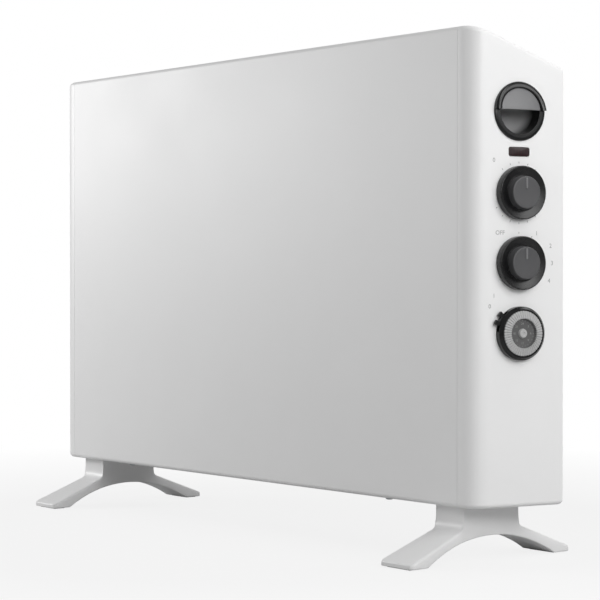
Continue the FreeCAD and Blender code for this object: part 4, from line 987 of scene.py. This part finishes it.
def foot_mesh(name, flip):
    """The foot's skin with the two screw wells cut out of its arch."""
    body = bpy.data.objects.new("foot", skin("foot", [foot_surface() * MM * flip]))
    wells = [well_surface(y) * MM * flip for y in (-WELL_SPREAD, WELL_SPREAD)]
    cutter = bpy.data.objects.new("wells", skin("wells", wells))
    for made in (body, cutter):
        scene.collection.objects.link(made)
    cut = body.modifiers.new("wells", "BOOLEAN")
    cut.operation = "DIFFERENCE"
    cut.solver = "EXACT"
    cut.object = cutter
    bpy.context.view_layer.update()
    mesh = bpy.data.meshes.new_from_object(body.evaluated_get(bpy.context.evaluated_depsgraph_get()))
    mesh.name = name
    mesh.materials.clear()
    for made in (body, cutter):
        bpy.data.objects.remove(made)
    work = bmesh.new()
    work.from_mesh(mesh)
    bmesh.ops.remove_doubles(work, verts=work.verts, dist=CUT_MERGE)
    bmesh.ops.dissolve_degenerate(work, edges=work.edges, dist=CUT_MERGE)
    bmesh.ops.triangulate(work, faces=[face for face in work.faces if len(face.verts) > 4])
    work.to_mesh(mesh)
    work.free()
    smooth(mesh, CRISP)
    return mesh


for side, flip in SIDES:
    piece(side + "_arched_foot", "case", "foot_moulding", foot_mesh(side + "_arched_foot", flip),
          stands_for=[side + "_foot"])

# %% [markdown]
# ## Screws
# The rear panel and the underside are held by pan-head screws with a cross recess. A head is a turned
# dome, and the cross is a depth taken off it: two crossed bands, each with soft edges, so the same
# formula of two parameters gives the dome, the recess, the edge and the shank below.

# %% Screw
SCREW_HEAD_R = 3.4
SCREW_HEAD = 2.0
SCREW_R = 1.75
SCREW_LENGTH = 9.0
SCREW_TIP = 1.5
HEAD_REACH = 0.94
HEAD_FALL = 0.7
HEAD_EDGE = SCREW_HEAD - 0.75
HEAD_ROUND = 0.2
CROSS_DEPTH = 1.1
CROSS_HALF, CROSS_SOFT = 0.62, 0.3
CROSS_REACH, REACH_SOFT = 2.05, 0.4


def soft_step(value):
    """Rises from 0 to 1 without a corner at either end: 3 v squared less 2 v cubed."""
    value = np.clip(value, 0, 1)
    return value * value * (3 - 2 * value)


def screw_surface(seat, outward, first, second, turn, columns=64):
    """Turned dome, edge and shank along outward; the dome is sunk inside two crossed bands."""
    reach = np.linspace(0, HEAD_REACH, 20) * SCREW_HEAD_R
    dome = np.stack([SCREW_HEAD - HEAD_FALL * (reach / SCREW_HEAD_R) ** 4, reach], -1)
    rest = rounded([(HEAD_EDGE, SCREW_HEAD_R), (0, SCREW_HEAD_R), (0, SCREW_R),
                    (-SCREW_LENGTH + SCREW_TIP, SCREW_R), (-SCREW_LENGTH, 0)], [0, HEAD_ROUND, 0, 0, 0])
    profile = np.concatenate([dome, rest])
    angle = around(columns)
    a, b = profile[:, 1:2] * np.cos(angle), profile[:, 1:2] * np.sin(angle)
    near, far = np.minimum(np.abs(a), np.abs(b)), np.maximum(np.abs(a), np.abs(b))
    inside = soft_step((CROSS_HALF - near) / CROSS_SOFT)
    sunk = CROSS_DEPTH * inside * soft_step((CROSS_REACH - far) / REACH_SOFT)
    out = profile[:, 0:1] - np.where(np.arange(len(profile))[:, None] < len(dome), sunk, 0)
    x, y = a * math.cos(turn) - b * math.sin(turn), a * math.sin(turn) + b * math.cos(turn)
    return seat + MM * (out[..., None] * outward + x[..., None] * first + y[..., None] * second)


ALONG = np.array((1.0, 0.0, 0.0))
DEEP = np.array((0.0, 1.0, 0.0))
SCREW_TURNS = (0.3, 1.1, 0.7, 1.4)
print("points around a screw", screw_surface(np.zeros(3), DEEP, ALONG, UP, 0.0).shape[1])

# %% Screws of the rear panel and the base
def four_screws(box, outward, second):
    """A screw in each corner of a box, in by a head's radius along X and second, its head outermost."""
    low, high = (np.array(corner) for corner in box)
    head = SCREW_HEAD_R * MM
    depth = max(low @ outward, high @ outward) - SCREW_HEAD * MM
    seats = [x * ALONG + y * second + depth * outward
             for x in (low @ ALONG + head, high @ ALONG - head)
             for y in (low @ second + head, high @ second - head)]
    return [screw_surface(seat, outward, ALONG, second, turn) for seat, turn in zip(seats, SCREW_TURNS)]


skinned("rear_pan_screws", "case", "zinc_steel", four_screws(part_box("rear_panel_screws"), DEEP, UP),
        stands_for=["rear_panel_screws"])
skinned("base_pan_screws", "case", "zinc_steel", four_screws(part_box("base_screws"), -UP, DEEP),
        stands_for=["base_screws"])

# %% [markdown]
# ## Floor, light and background
# The heater stands on a plain pale grey floor, whitened for the eye more and more away from it, so
# that no horizon shows. A soft light from the left gives the front its slow fall from bright to grey.
# Three from the right, one of them high, keep the end the brightest face with hardly a shadow under the
# knobs, and one from the rear lights the toes. The white behind is only for the eye: what lights the
# heater is softer.

# %% Floor
FLOOR_DROP = 0.1


def floor_mesh(reach=9.0, count=3):
    """Flat square grid just under the pads."""
    line = np.linspace(-reach, reach, count)
    x, y = np.meshgrid(line, line)
    points = np.stack([x, y, np.full_like(x, -FLOOR_DROP * MM)], -1).reshape(-1, 3)
    mesh = bpy.data.meshes.new("floor")
    mesh.from_pydata(points.tolist(), [], grid_faces(count, count, False).tolist())
    return mesh


def whitened(material, share, near, far):
    """For the eye alone, mixes white in: a share of it up to near metres, and all of it from far on."""
    tree = material.node_tree
    place = add_node(tree, "ShaderNodeTexCoord").outputs["Object"]
    away = add_node(tree, "ShaderNodeVectorMath", {0: place}, operation="LENGTH").outputs["Value"]
    amount = add_node(tree, "ShaderNodeMapRange", {
        "Value": away, "From Min": near, "From Max": far, "To Min": share, "To Max": 1.0}).outputs["Result"]
    eye = add_node(tree, "ShaderNodeLightPath").outputs["Is Camera Ray"]
    amount = add_node(tree, "ShaderNodeMath", {0: amount, 1: eye}, operation="MULTIPLY").outputs["Value"]
    glow = add_node(tree, "ShaderNodeEmission", {"Strength": 1.0}).outputs["Emission"]
    paint = tree.nodes["Principled BSDF"].outputs["BSDF"]
    both = add_node(tree, "ShaderNodeMixShader", {0: amount, 1: paint, 2: glow}).outputs["Shader"]
    tree.links.new(both, tree.nodes["Material Output"].inputs["Surface"])


# Matt floor paint: a quiet pale grey with a broad drift, so that only the shadows show on it.
floor_paint = grained("matt_floor_paint_pale_grey", "#c0c0c0", "#bababa", 0.8, 3.0, 0.01, 300.0)
whitened(floor_paint, share=0.84, near=0.35, far=0.95)
floor = bpy.data.objects.new("floor", floor_mesh())
floor.data.materials.append(floor_paint)
scene.collection.objects.link(floor)
print("floor at", -FLOOR_DROP, "mm")

# %% Lights
CASE_MIDDLE = (0.0, 0.0, 0.25)
LIGHTS = {
    "left_light": ((-1.25, -0.82, 0.58), 0.5, 10.7),
    "end_light": ((1.2, -0.1, 1.25), 0.5, 3.1),
    "side_light": ((1.5, -0.35, 0.7), 0.5, 6.0),
    "grip_light": ((1.41, 0.3, 0.76), 0.5, 2.8),
    "rear_light": ((0.55, 1.1, 1.7), 0.8, 6.0),
}


def soft_light(name, place, size, power):
    """Square area light at a place, turned to face the middle of the case."""
    lamp = bpy.data.lights.new(name, "AREA")
    lamp.size = size
    lamp.energy = power
    holder = bpy.data.objects.new(name, lamp)
    holder.location = place
    away = np.array(place) - np.array(CASE_MIDDLE)
    flat = math.hypot(away[0], away[1])
    holder.rotation_euler = (math.atan2(flat, away[2]), 0, math.atan2(away[0], -away[1]))
    scene.collection.objects.link(holder)


for name, (place, size, power) in LIGHTS.items():
    soft_light(name, place, size, power)
print("lights", list(LIGHTS))

# %% Background
SKY_LIGHT = 0.25
SKY_WHITE = 1.0
PLAIN = (1.0, 1.0, 1.0, 1.0)
world = bpy.data.worlds.new("studio")
scene.world = world
world.use_nodes = True
sky = world.node_tree
sky.nodes.clear()
eye = add_node(sky, "ShaderNodeLightPath").outputs["Is Camera Ray"]
soft = add_node(sky, "ShaderNodeBackground", {"Color": PLAIN, "Strength": SKY_LIGHT}).outputs[0]
white = add_node(sky, "ShaderNodeBackground", {"Color": PLAIN, "Strength": SKY_WHITE}).outputs[0]
both = add_node(sky, "ShaderNodeMixShader", {0: eye, 1: soft, 2: white}).outputs[0]
add_node(sky, "ShaderNodeOutputWorld", {"Surface": both})
scene.view_settings.view_transform = "Standard"
print("background light", SKY_LIGHT)
